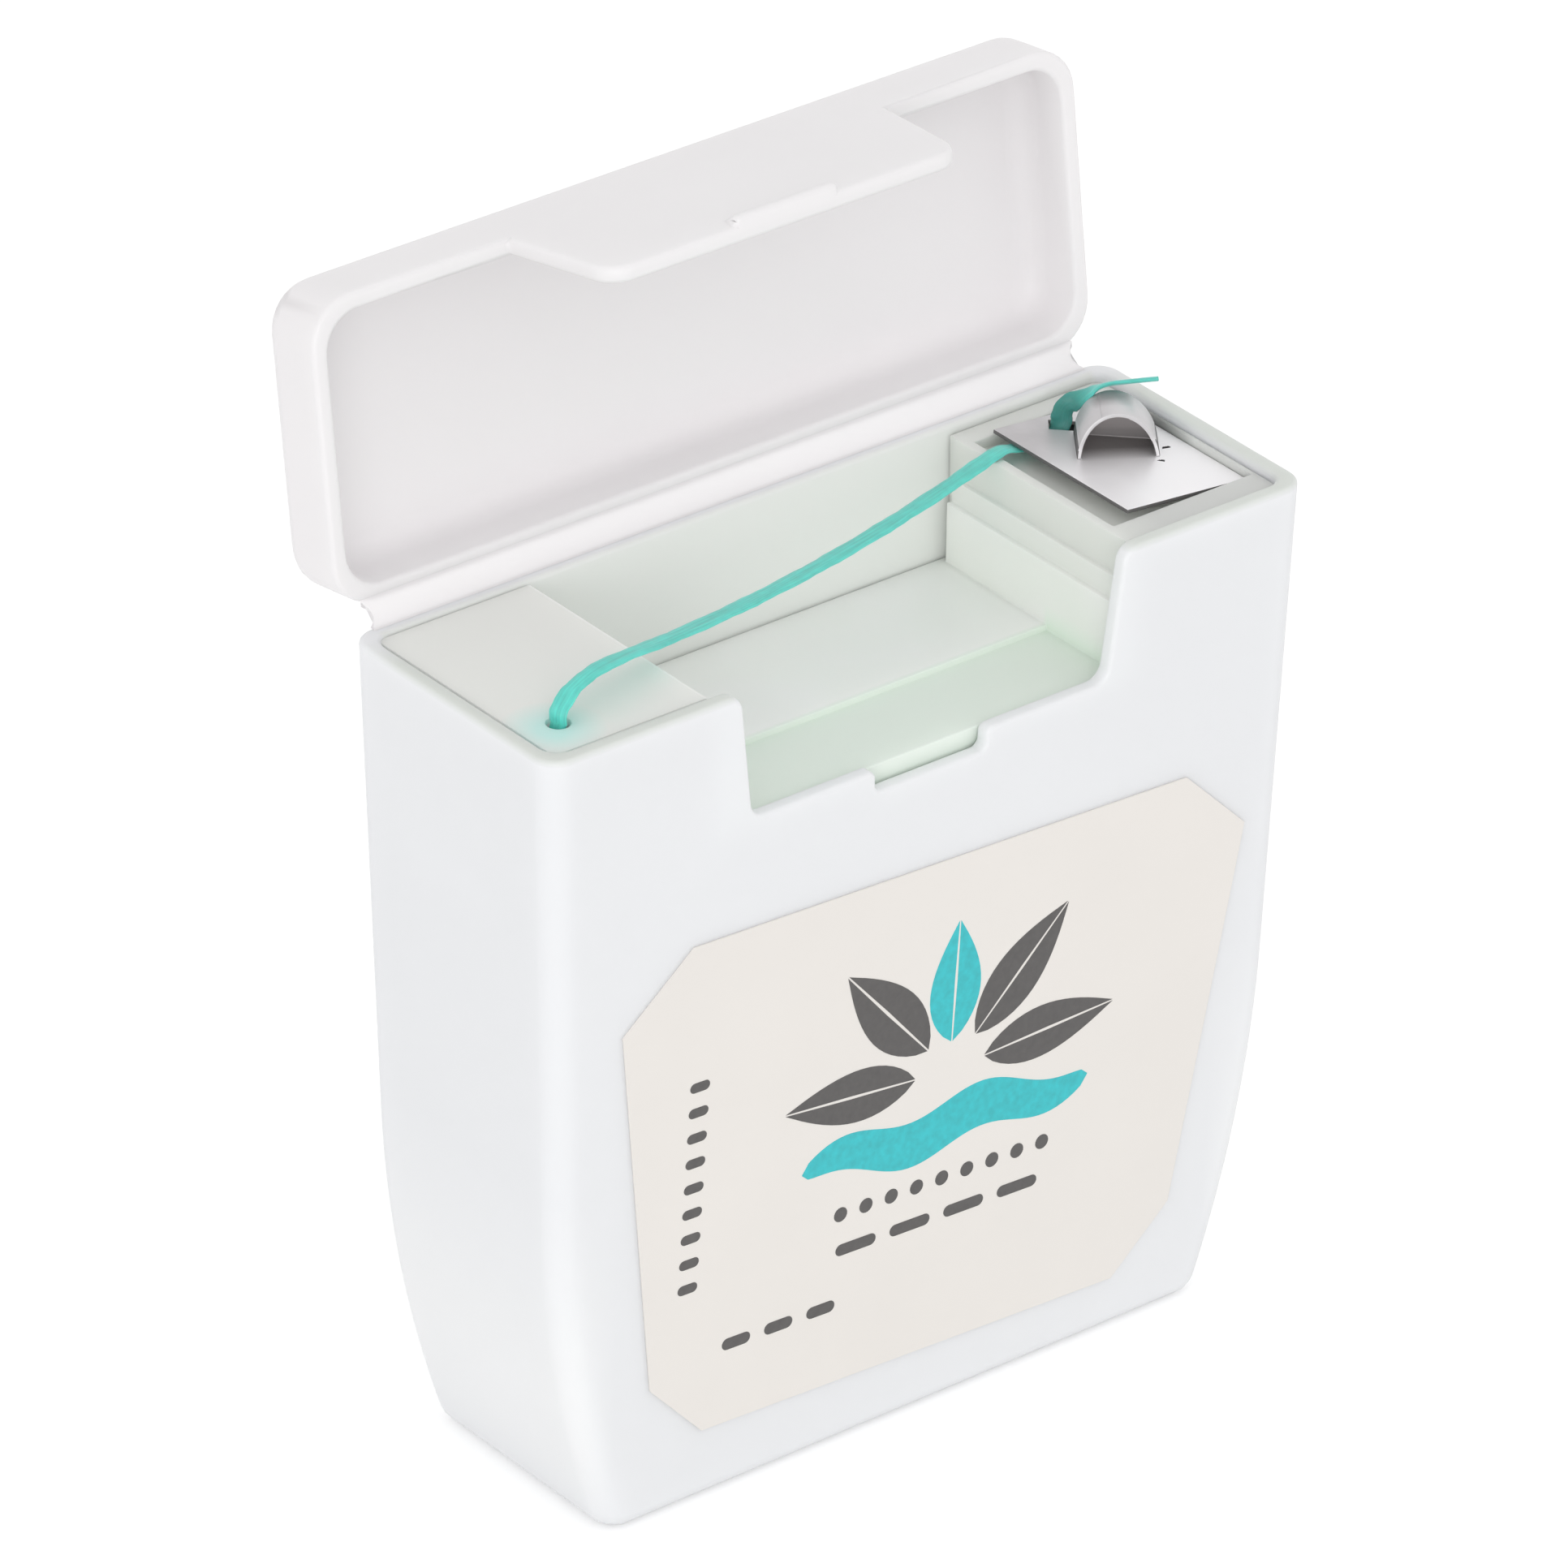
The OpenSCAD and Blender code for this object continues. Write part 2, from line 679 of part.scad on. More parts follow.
// Ribbon swept along a route, its width turned by the route's own angles
module ribbon(route) {
    last = len(route) - 1;
    function place(i) = [route[i].x, route[i].y, route[i].z];
    function along(i) = unit(place(min(i + 1, last)) - place(max(i - 1, 0)));
    function across(i) =
        let (plan = route[i][3])
        let (rise = route[i][4])
        let (width = [cos(plan) * cos(rise), sin(plan) * cos(rise), sin(rise)])
        unit(width - (width * along(i)) * along(i));
    points = [for (i = [0:last]) for (k = [0:floss_sides - 1])
        let (turn = 360 * k / floss_sides)
        place(i) + across(i) * floss_w / 2 * cos(turn) + cross(along(i), across(i)) * floss_t / 2 * sin(turn)];
    sides = [for (i = [0:last - 1]) for (k = [0:floss_sides - 1])
        let (next = (k + 1) % floss_sides)
        each [[i * floss_sides + k, (i + 1) * floss_sides + k, (i + 1) * floss_sides + next],
              [i * floss_sides + k, (i + 1) * floss_sides + next, i * floss_sides + next]]];
    polyhedron(points, concat(
        [[for (k = [0:floss_sides - 1]) k]],
        [[for (k = [floss_sides - 1:-1:0]) last * floss_sides + k]],
        sides
    ), convexity = 6);
}

module floss_feed() {
    color(floss_colour)
        ribbon(feed_route());
}

module floss_strand() {
    color(floss_colour)
        ribbon(strand_route());
}

module front_label() {
    upper = half_w(label_z + label_h / 2 - label_cut.y) - corner_r - label_margin;
    lower = half_w(label_z - label_h / 2 + label_low_cut.y) - corner_r - label_low_margin;
    lean = atan(front_draft / case_h);
    color(label_colour)
        translate([label_x, -half_d(label_z), label_z])
            rotate([90 + lean, 0, 0])
                rotate([0, 0, -label_turn])
                    linear_extrude(label_t)
                        polygon([for (corner = with_mirror([
                            [[label_cut.x - upper, label_h / 2], 0],
                            [[-upper, label_h / 2 - label_cut.y], 0],
                            [[-lower, label_low_cut.y - label_h / 2], 0],
                            [[label_low_cut.x - lower, -label_h / 2], 0]
                        ])) corner[0]]);
}

case();
lid();
living_hinge();
insert();
cutter_plate();
bobbin_core();
floss_winding();
floss_feed();
floss_strand();
front_label();
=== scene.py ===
"""Dresses the frame of a flip-top floss dispenser: modelled pieces, their finishes, the stage and the camera."""

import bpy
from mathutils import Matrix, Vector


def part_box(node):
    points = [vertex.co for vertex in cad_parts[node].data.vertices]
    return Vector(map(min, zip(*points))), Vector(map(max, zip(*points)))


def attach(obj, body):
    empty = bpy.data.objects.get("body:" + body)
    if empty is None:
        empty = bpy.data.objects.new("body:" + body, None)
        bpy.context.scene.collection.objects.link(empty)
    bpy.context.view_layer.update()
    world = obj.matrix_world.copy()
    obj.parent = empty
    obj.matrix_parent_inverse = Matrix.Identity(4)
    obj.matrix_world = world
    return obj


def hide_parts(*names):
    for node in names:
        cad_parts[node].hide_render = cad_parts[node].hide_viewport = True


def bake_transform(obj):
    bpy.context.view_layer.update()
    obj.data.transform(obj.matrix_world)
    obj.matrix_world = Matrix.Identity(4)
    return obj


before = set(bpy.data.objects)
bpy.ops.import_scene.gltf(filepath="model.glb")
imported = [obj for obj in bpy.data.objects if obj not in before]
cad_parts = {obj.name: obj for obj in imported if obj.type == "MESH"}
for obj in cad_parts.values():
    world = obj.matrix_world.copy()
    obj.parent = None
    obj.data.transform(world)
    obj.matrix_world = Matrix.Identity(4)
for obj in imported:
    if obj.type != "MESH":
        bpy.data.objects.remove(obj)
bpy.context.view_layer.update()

import math
from contextlib import contextmanager
from types import SimpleNamespace

import bmesh
import bpy
from bpy.props import FloatProperty, FloatVectorProperty, PointerProperty
from bpy.types import Operator, Panel, PropertyGroup
from mathutils import Matrix, Vector

bl_info = {
    "name": "Floss dispenser",
    "version": (1, 0, 0),
    "blender": (4, 5, 0),
    "location": "View3D > Sidebar > Dispenser",
    "description": "Models and finishes the pieces of a flip-top floss dispenser",
    "category": "Object",
}

# Pieces are modelled with one unit to the millimetre, and scaled to metres when they are settled
MM = 0.001
# Distance, in millimetres, under which two places count as one
TOUCH = 0.001
# Overrun of a cut past the face that it opens, in millimetres
OVER = 0.5
# Steps of the rounded corners, the rounded edges, the curved sides, the web, the arch and the printed shapes
CORNER_STEPS = 8
EDGE_STEPS = 5
SIDE_STEPS = 12
WEB_STEPS = 10
ARCH_STEPS = 48
LEAF_STEPS = 16
WAVE_STEPS = 48
BAR_STEPS = 9
# Sides of rods, of the outlet, of large round pieces and of ribbons, and steps between two points of a route
ROD_SIDES = 64
OUTLET_SIDES = 48
ROUND_SIDES = 96
RIBBON_SIDES = 20
ROUTE_STEPS = 5
# Angles between two faces, in degrees: under the first they are merged, past the second they shade sharply, and past
# the third the edge between them is rounded
MERGED_UNDER = 0.05
SHARP_PAST = 35
ROUNDED_PAST = 38

CASE_LOW, CASE_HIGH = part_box("case")
FLANGE_LOW, FLANGE_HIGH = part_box("bobbin_core")
WINDING_LOW, WINDING_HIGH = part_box("floss_winding")


def length(name, description, default):
    """A length that a user can change, in metres."""
    return FloatProperty(name=name, description=description, default=default, unit="LENGTH", precision=5)


def turn(name, description, degrees):
    """An angle that a user can change."""
    return FloatProperty(name=name, description=description, default=math.radians(degrees), subtype="ANGLE")


def tint(name, description, default):
    """A colour that a user can change."""
    return FloatVectorProperty(name=name, description=description, default=default, subtype="COLOR", min=0, max=1)


class CaseSizes(PropertyGroup):
    width: length("Width", "Width over the rim", CASE_HIGH.x - CASE_LOW.x)
    depth: length("Depth", "Depth over the rim", CASE_HIGH.y - CASE_LOW.y)
    height: length("Height", "Height from the base to the rim", CASE_HIGH.z - CASE_LOW.z)
    wall: length("Wall", "Thickness of the walls", 0.0008)
    floor: length("Floor", "Thickness of the bottom", 0.001)
    corner: length("Corner radius", "Radius of the upright corners", 0.0012)
    base_edge: length("Base radius", "Radius of the edge round the base", 0.0008)
    straight_side: length("Straight side", "Height below the rim over which the sides run straight", 0.0238)
    side_lean: turn("Side lean", "Lean of the straight part of each side", 2)
    side_radius: length("Side radius", "Radius of the curve that draws the sides in", 0.0575)
    front_lean: length("Front lean", "How far front and back lean in between rim and base", 0.00075)
    notch_top: length("Notch width, top", "Width of the notch at the rim", 0.0215)
    notch_bottom: length("Notch width, bottom", "Width of the notch at its bottom", 0.0199)
    notch_depth: length("Notch depth", "Depth of the notch below the rim", 0.0065)
    notch_top_radius: length("Notch radius, top", "Radius where the notch meets the rim", 0.0011)
    notch_bottom_radius: length("Notch radius, bottom", "Radius in the notch's bottom corners", 0.0008)
    thumb_width: length("Thumb recess width", "Width of the recess in the notch's bottom", 0.0062)
    thumb_depth: length("Thumb recess depth", "Depth of the recess in the notch's bottom", 0.0011)
    thumb_radius: length("Thumb recess radius", "Radius of the recess's corners", 0.0004)
    ledge_reach: length("Ledge reach", "How far the ledges for the insert stand in", 0.001)
    ledge_length: length("Ledge length", "Length of each ledge", 0.006)
    ledge_height: length("Ledge height", "Height of each ledge", 0.0012)
    softness: length("Edge softness", "Rounding of the moulded edges", 0.00022)


class LidSizes(PropertyGroup):
    height: length("Height", "Height from the rim to the top", 0.0039)
    wall: length("Wall", "Thickness of the walls and the top", 0.0008)
    corner: length("Corner radius", "Radius of the lid's corners", 0.0022)
    edge: length("Edge radius", "Radius of the edge round the top", 0.0011)
    fillet: length("Inner fillet", "Rounding between the lid's top and its walls, inside", 0.0012)
    gap: length("Gap", "Gap between the closed lid and the case's rim", 0.00012)
    tongue_gap: length("Tongue gap", "Gap between the tongue and the notch", 0.00025)
    tongue_radius: length("Tongue radius", "Radius of the tongue's free corners", 0.0012)
    lip_width: length("Lip width", "Width of the thumb lip", 0.0056)
    lip_out: length("Lip reach", "How far the thumb lip stands out", 0.0004)
    lip_height: length("Lip height", "Height of the thumb lip", 0.0008)
    open_angle: turn("Opening angle", "Angle by which the lid stands open at rest", 98)
    hinge_reach: length("Hinge reach", "Distance from the case's back to the line the lid turns about", 0.0006)
    web_inset: length("Web inset", "Distance from the ends of the case to the web", 0.0012)
    web_foot: length("Web foot", "Width of each edge that joins the web", 0.00035)
    web_waist: length("Web waist", "How far the web's ends draw in between their feet", 0.0004)


class InsertSizes(PropertyGroup):
    clearance: length("Clearance", "Clearance between the insert and the case", 0.0001)
    wall: length("Wall", "Thickness of the walls", 0.0008)
    height: length("Height", "Height from the platform to the skirt's edge", 0.0082)
    platform_drop: length("Platform drop", "Depth of the platform below the rim", 0.0001)
    platform_width: length("Platform width", "Width of the platform", 0.00835)
    well_depth: length("Well depth", "Depth of the well's floor below the rim", 0.0065)
    step: length("Step", "Drop of the front part of the well's floor", 0.0003)
    step_width: length("Step width", "Width of that front part", 0.0049)
    tower_width: length("Tower width", "Width of the tower", 0.0087)
    tower_drop: length("Tower drop", "Depth of the tower's top below the rim", 0.0004)
    shelf_drop: length("Shelf drop", "Depth of the first shelf on the tower's wall", 0.0023)
    shelf_out: length("Shelf reach", "How far each shelf stands out", 0.00025)
    tray_depth: length("Tray depth", "Depth of the tray in the tower's top", 0.00055)
    tray_rim: length("Tray border", "Width of the tray's border at the right", 0.00025)
    tray_back_rim: length("Tray border, back", "Width of the tray's border at the back", 0.00115)
    tray_left_rim: length("Tray border, left", "Width of the tray's border at the left", 0.0005)
    tray_front_rim: length("Tray border, front", "Width of the tray's border at the front", 0.0017)
    outlet: length("Outlet bore", "Bore of the floss outlet", 0.0011)
    outlet_from_left: length("Outlet from left", "Distance from the insert's left end to the outlet", 0.0019)
    outlet_from_front: length("Outlet from front", "Distance from the insert's front to the outlet", 0.00215)
    spindle: length("Spindle diameter", "Diameter of the spindle", 0.005)
    boss: length("Boss diameter", "Diameter of the boss at the spindle's foot", 0.008)
    leg_width: length("Leg width", "Width of the leg that carries the spindle", 0.0032)
    leg: length("Leg thickness", "Thickness of the leg", 0.0011)
    leg_gap: length("Leg gap", "Gap between the leg and the case's back wall", 0.0003)
    rib: length("Rib depth", "Depth of the rib under the well's floor", 0.001)
    softness: length("Edge softness", "Rounding of the moulded edges", 0.00007)


class BobbinSizes(PropertyGroup):
    flange: length("Flange diameter", "Diameter of the flanges", FLANGE_HIGH.x - FLANGE_LOW.x)
    width: length("Width", "Width over the flanges", FLANGE_HIGH.y - FLANGE_LOW.y)
    flange_wall: length("Flange thickness", "Thickness of each flange", 0.0008)
    hub: length("Hub diameter", "Diameter of the hub", 0.008)
    clearance: length("Clearance", "Running clearance on the spindle", 0.00006)
    play: length("Play", "Free play between leg and flange", 0.0003)
    winding: length("Winding diameter", "Diameter of the wound floss", WINDING_HIGH.x - WINDING_LOW.x)
    turn_width: length("Turn width", "Width of one turn of the wound floss", 0.0008)


class CutterSizes(PropertyGroup):
    width: length("Width", "Width of the plate", 0.0069)
    depth: length("Depth", "Depth of the plate, front to back", 0.0094)
    sheet: length("Sheet thickness", "Thickness of the sheet steel", 0.0002)
    gap: length("Gap", "Clearance between the plate and the tray's borders", 0.00005)
    tilt: turn("Tilt", "Angle by which the plate rises towards the left", 5.5)
    seat_width: length("Seat width", "Width of the seat that carries the plate", 0.0024)
    arch_from_right: length("Arch from right", "Distance from the plate's right edge to the arch's mouth", 0.00375)
    arch_from_front: length("Arch from front", "Distance from the plate's front edge to the arch's mouth", 0.00435)
    arch_width: length("Arch width", "Width over the arch", 0.0038)
    arch_height: length("Arch height", "Height under the arch", 0.0022)
    arch_length: length("Arch length", "Length of the arch along its axis", 0.0026)
    arch_turn: turn("Arch turn", "Angle of the arch's axis from the back towards the right", 36.5)
    arch_lean: length("Arch lean", "How far the arch's crown leans to the left of its feet", 0.0003)
    arch_skew: turn("Arch skew", "Angle by which the arch's mouth is cut askew", 13.5)
    slit_width: length("Slit width", "Width of the slit behind the arch", 0.001)
    slit_reach: length("Slit reach", "How far the slit reaches to the left of the arch", 0.0011)


class FlossSizes(PropertyGroup):
    width: length("Width", "Width of the ribbon", 0.00095)
    thickness: length("Thickness", "Thickness of the ribbon", 0.00024)
    sag: length("Sag", "Sag between the platform and the cutter", 0.0008)
    free_length: length("Free length", "Length from the outlet to the cut end", 0.0422)


class LabelSizes(PropertyGroup):
    height: length("Height", "Height of the label", 0.0255)
    middle: length("Middle", "Height of the label's middle above the base", 0.016)
    shift: length("Shift", "Shift of the label to the right of the middle", 0.0003)
    crooked: turn("Crookedness", "Angle by which the label is stuck on crooked", 2.4)
    margin: length("Upper margin", "Distance from the upper shoulders to the case's corners", 0.0018)
    low_margin: length("Lower margin", "Distance from the lower shoulders to the case's corners", 0.0028)
    cut_width: length("Upper cut, width", "Width of the upper corners' cut", 0.0037)
    cut_height: length("Upper cut, height", "Height of the upper corners' cut", 0.0034)
    low_cut_width: length("Lower cut, width", "Width of the lower corners' cut", 0.0031)
    low_cut_height: length("Lower cut, height", "Height of the lower corners' cut", 0.0031)
    paper: length("Paper thickness", "Thickness of the label", 0.0001)
    ink: length("Ink thickness", "Thickness of the printed shapes", 0.000012)


class Finishes(PropertyGroup):
    case: tint("Case", "Colour of the case's plastic", (0.86, 0.87, 0.89))
    lid: tint("Lid", "Colour of the lid's and the hinge's plastic", (0.86, 0.835, 0.845))
    insert: tint("Insert", "Colour of the insert's plastic", (0.96, 0.985, 0.935))
    # Painted shade on the case's rim, tinted like the insert that shows through it
    rim: tint("Rim", "Colour that the insert lends to the case's rim", (0.70, 0.73, 0.69))
    # Painted shade on the case's back wall where it shows deep inside, tinted like the insert
    inner_wall_shade: tint("Inner wall", "Colour of the case's back wall where it shows inside", (0.80, 0.815, 0.79))
    platform: tint("Platform", "Colour of the insert's platform", (0.875, 0.89, 0.845))
    # Painted shade and tint on the front strip of the well's floor
    front_strip_shade: tint("Front strip", "Colour of the front strip of the well's floor", (0.83, 0.93, 0.83))
    # Painted shade on the tower's top in front of the cutter
    tray_border_shade: tint("Tray border", "Colour of the tower's top in front of the cutter", (0.66, 0.67, 0.65))
    tray_shadow: tint("Tray shadow", "Colour of the tray below the cutter's arch", (0.05, 0.05, 0.05))
    # Painted light: the floss's colour glowing through the plastic round its outlet
    outlet_glow: tint("Outlet glow", "Colour of the floss that shows through round its outlet", (0.52, 0.91, 0.85))
    # Painted light that brightens the shaded inside of the floss outlet
    outlet_bore_light: tint("Outlet bore", "Colour inside the floss outlet", (0.97, 0.98, 0.98))
    steel: tint("Steel", "Colour of the cutter's steel", (1.0, 0.985, 1.0))
    # Painted shade and reflection, broken up by scuffs, on the cutter's steel
    shaded_steel: tint("Dull steel", "Colour of the steel where it is rubbed dull", (0.36, 0.345, 0.35))
    # The cut edges' darker fracture, with painted shade on it
    cut_edge: tint("Cut edge", "Colour of the steel's cut edges", (0.16, 0.155, 0.155))
    # Painted shade on the steel inside the arch
    inside_arch: tint("Inside of the arch", "Colour of the steel inside the arch", (0.36, 0.335, 0.335))
    # Painted shade on the plate under the arch, fading in from its mouth
    arch_floor_shade: tint("Arch floor", "Colour of the plate under the arch", (0.30, 0.285, 0.285))
    bobbin: tint("Bobbin", "Colour of the bobbin's plastic", (0.82, 0.82, 0.78))
    floss: tint("Floss", "Colour of the floss", (0.12, 0.69, 0.60))
    paper: tint("Label paper", "Colour of the label's paper", (0.85, 0.815, 0.775))
    dark_ink: tint("Dark ink", "Colour of the dark printed shapes", (0.105, 0.10, 0.098))
    bright_ink: tint("Bright ink", "Colour of the bright printed shapes", (0.045, 0.53, 0.57))


class StageSizes(PropertyGroup):
    azimuth: turn("Azimuth", "Direction the camera looks from, round the object", -38.862)
    elevation: turn("Elevation", "Height of the camera above the horizon", 29.958)
    roll: turn("Roll", "Turn of the camera about its own line of sight", 0.898)
    distance: length("Distance", "Distance from the camera to the point it looks at", 0.573823)
    aim_x: length("Aim, X", "X of the point the camera looks at", -0.002613)
    aim_z: length("Aim, Z", "Z of the point the camera looks at", 0.030638)
    lens: FloatProperty(name="Lens", description="Focal length on a 36 mm sensor", default=298.14,
                        subtype="DISTANCE_CAMERA")
    world_level: FloatProperty(name="Surroundings", description="Light level of the white surroundings", default=0.85)
    key_level: FloatProperty(name="Key lamp", description="Power of the low lamp at the front left", default=3.4,
                             unit="POWER")
    fill_level: FloatProperty(name="Fill lamp", description="Power of the lamp at the upper right", default=0.4,
                              unit="POWER")


class DispenserSettings(PropertyGroup):
    case: PointerProperty(type=CaseSizes)
    lid: PointerProperty(type=LidSizes)
    insert: PointerProperty(type=InsertSizes)
    bobbin: PointerProperty(type=BobbinSizes)
    cutter: PointerProperty(type=CutterSizes)
    floss: PointerProperty(type=FlossSizes)
    label: PointerProperty(type=LabelSizes)
    finishes: PointerProperty(type=Finishes)
    stage: PointerProperty(type=StageSizes)


def sizes_of(group):
    """A group's sizes as plain numbers: lengths in millimetres, angles in radians."""
    numbers = SimpleNamespace()
    for name, prop in group.bl_rna.properties.items():
        if prop.type == "FLOAT" and not prop.is_array:
            setattr(numbers, name, getattr(group, name) / MM if prop.unit == "LENGTH" else getattr(group, name))
    return numbers


def all_sizes(context):
    """The sizes of all the pieces, and the places that follow from them."""
    settings = context.scene.dispenser
    s = SimpleNamespace(**{
        name: sizes_of(getattr(settings, name))
        for name in ("case", "lid", "insert", "bobbin", "cutter", "floss", "label")
    })
    case, insert, cutter = s.case, s.insert, s.cutter
    inset = case.wall + insert.clearance
    half_width, half_depth = case.width / 2 - inset, case.depth / 2 - inset
    tower_z = case.height - insert.tower_drop
    leg_back = case.depth / 2 - case.wall - case.front_lean - insert.leg_gap
    spindle = (FLANGE_LOW + FLANGE_HIGH) / 2 / MM
    s.at = SimpleNamespace(
        inset=inset,
        half_width=half_width,
        half_depth=half_depth,
        platform_z=case.height - insert.platform_drop,
        well_z=case.height - insert.well_depth,
        skirt_z=case.height - insert.height,
        tower_z=tower_z,
        tray_z=tower_z - insert.tray_depth,
        well_left=insert.platform_width - half_width,
        well_right=half_width - insert.tower_width,
        front_step=insert.step_width - half_depth,
        plate_right=half_width - insert.tray_rim - cutter.gap,
        plate_back=half_depth - insert.tray_back_rim - cutter.gap,
        plate_front=half_depth - insert.tray_back_rim - cutter.gap - cutter.depth,
        leg_back=leg_back,
        leg_front=leg_back - insert.leg,
        spindle=spindle,
        hinge=Vector((0, case.depth / 2 + s.lid.hinge_reach, case.height + s.lid.gap)),
    )
    return s


def side_inset(case, z):
    """How far each side stands in at a height."""
    depth = max(case.height - z, 0)
    below = max(depth - case.straight_side, 0)
    lean = math.asin(min(math.sin(case.side_lean) + below / case.side_radius, 1))
    straight = min(depth, case.straight_side) * math.tan(case.side_lean)
    return straight + case.side_radius * (math.cos(case.side_lean) - math.cos(lean))


def half_width(case, z):
    """Half of the case's width at a height."""
    return case.width / 2 - side_inset(case, z)


def half_depth(case, z):
    """Half of the case's depth at a height."""
    return case.depth / 2 - case.front_lean * max(case.height - z, 0) / case.height


def only(piece):
    """Selects one object and nothing else."""
    bpy.ops.object.select_all(action="DESELECT")
    piece.select_set(True)
    bpy.context.view_layer.objects.active = piece


def fix_place(piece):
    """Moves an object's place, turn and scale into its mesh."""
    only(piece)
    bpy.ops.object.transform_apply(location=True, rotation=True, scale=True)


@contextmanager
def editing(piece):
    """Edit mode on one piece, with nothing selected at its start."""
    only(piece)
    bpy.ops.object.mode_set(mode="EDIT")
    bpy.ops.mesh.select_all(action="DESELECT")
    yield
    bpy.ops.object.mode_set(mode="OBJECT")


def choose(piece, kind, test):
    """In edit mode, selects the vertices, edges or faces for which a test holds."""
    bpy.ops.mesh.select_mode(type={"verts": "VERT", "edges": "EDGE", "faces": "FACE"}[kind])
    bpy.ops.mesh.select_all(action="DESELECT")
    mesh = bmesh.from_edit_mesh(piece.data)
    for element in getattr(mesh, kind):
        if test(element):
            element.select_set(True)
    mesh.select_flush_mode()
    bmesh.update_edit_mesh(piece.data)


def level(edge, z):
    """Whether an edge lies at a height."""
    return all(abs(v.co.z - z) < TOUCH for v in edge.verts)


def apply_modifier(piece, kind, **values):
    """Adds a modifier with these values to a piece and applies it."""
    modifier = piece.modifiers.new(kind.lower(), kind)
    for name, value in values.items():
        setattr(modifier, name, value)
    only(piece)
    bpy.ops.object.modifier_apply(modifier=modifier.name)


def combine(piece, other, operation="DIFFERENCE"):
    """Cuts another block from a piece, or joins it on, and removes the other block."""
    apply_modifier(piece, "BOOLEAN", operation=operation, solver="EXACT", object=other)
    bpy.data.objects.remove(other)


def box(name, low, high):
    """A block between two corners."""
    low, high = Vector(low), Vector(high)
    bpy.ops.mesh.primitive_cube_add(size=1, location=(low + high) / 2)
    piece = bpy.context.object
    piece.name = name
    piece.scale = high - low
    fix_place(piece)
    return piece


def hollow(piece, inside, z):
    """Opens a block and the block inside it at a height, and bridges the two into one shell."""
    for block in (piece, inside):
        with editing(block):
            choose(block, "faces", lambda f: abs(f.normal.z) > 0.9 and abs(f.calc_center_median().z - z) < TOUCH)
            bpy.ops.mesh.delete(type="FACE")
    # The rings are paired up wrongly where they lie in one plane, so the inner one is lifted out of it meanwhile
    lift = 1
    outside = len(piece.data.vertices)
    only(piece)
    inside.select_set(True)
    bpy.ops.object.join()
    with editing(piece):
        for way in (1, -1):
            choose(piece, "verts", lambda v: v.index >= outside)
            bpy.ops.transform.translate(value=(0, 0, way * lift))
            if way == 1:
                choose(piece, "edges", lambda e: e.is_boundary)
                bpy.ops.mesh.bridge_edge_loops()
        bpy.ops.mesh.select_all(action="SELECT")
        bpy.ops.mesh.normals_make_consistent(inside=False)


def tapered_block(name, case, inset, low, high, corner, low_edge=0, high_edge=0):
    """A block that follows the case's outline between two heights, its faces moved in by inset."""
    piece = box(name, (-case.width / 2, -case.depth / 2, low), (case.width / 2, case.depth / 2, high))
    waist = case.height - case.straight_side
    heights = [waist * step / SIDE_STEPS for step in range(1, SIDE_STEPS + 1)] + [case.height]
    heights = [z for z in heights if low + low_edge + TOUCH < z < high - high_edge - TOUCH]
    with editing(piece):
        for z in heights:
            bpy.ops.mesh.select_all(action="SELECT")
            bpy.ops.mesh.bisect(plane_co=(0, 0, z), plane_no=(0, 0, 1), threshold=TOUCH / 10)
        for z in [low, *heights, high]:
            choose(piece, "verts", lambda v: abs(v.co.z - z) < TOUCH)
            across = (half_width(case, z) - inset) / (case.width / 2)
            along = (half_depth(case, z) - inset) / (case.depth / 2)
            bpy.ops.transform.resize(value=(across, along, 1), center_override=(0, 0, z))
        choose(piece, "edges", lambda e: abs(e.verts[0].co.z - e.verts[1].co.z) > TOUCH)
        bpy.ops.mesh.bevel(offset=corner, segments=CORNER_STEPS, affect="EDGES")
        for z, radius in ((low, low_edge), (high, high_edge)):
            if radius:
                choose(piece, "edges", lambda e: level(e, z))
                bpy.ops.mesh.bevel(offset=radius, segments=EDGE_STEPS, affect="EDGES")
    return piece


def corner_arc(before, corner, after, radius):
    """Points of the arc that rounds a corner between two other points."""
    if not radius:
        return [corner]
    u, v = (before - corner).normalized(), (after - corner).normalized()
    opening = u.angle(v)
    middle = corner + (u + v).normalized() * radius / math.sin(opening / 2)
    reach = radius / math.tan(opening / 2)
    first, last = corner + u * reach - middle, corner + v * reach - middle
    sweep = math.pi - opening
    return [
        middle + (first * math.sin((1 - t) * sweep) + last * math.sin(t * sweep)) / math.sin(sweep)
        for t in (step / CORNER_STEPS for step in range(CORNER_STEPS + 1))
    ]


def rounded(corners):
    """An outline whose corners, each given as X, Y and radius, are rounded."""
    places = [Vector(corner[:2]) for corner in corners]
    return [
        point
        for k, corner in enumerate(corners)
        for point in corner_arc(places[k - 1], places[k], places[(k + 1) % len(places)], corner[2])
    ]


def with_mirror(half):
    """The left half of an outline, followed by its mirror image."""
    return [*half, *((-x, *rest) for x, *rest in reversed(half))]


def prism(name, outline, place, depth):
    """A block with an outline in its own XY plane and a depth along its own Z, put in its place."""
    bpy.ops.mesh.primitive_circle_add(vertices=len(outline), fill_type="NGON")
    piece = bpy.context.object
    piece.name = name
    for vertex, point in zip(piece.data.vertices, outline):
        vertex.co = (point[0], point[1], 0)
    with editing(piece):
        bpy.ops.mesh.select_all(action="SELECT")
        bpy.ops.mesh.extrude_region_move(TRANSFORM_OT_translate={"value": (0, 0, depth)})
        bpy.ops.mesh.select_all(action="SELECT")
        bpy.ops.mesh.normals_make_consistent(inside=False)
    piece.matrix_world = place
    fix_place(piece)
    return piece


# Outlines seen from the front run back from their plane, and outlines seen from the side run to the right
FROM_FRONT = Matrix.Rotation(math.radians(90), 4, "X")
FROM_SIDE = Matrix.Rotation(math.radians(90), 4, "Z") @ FROM_FRONT


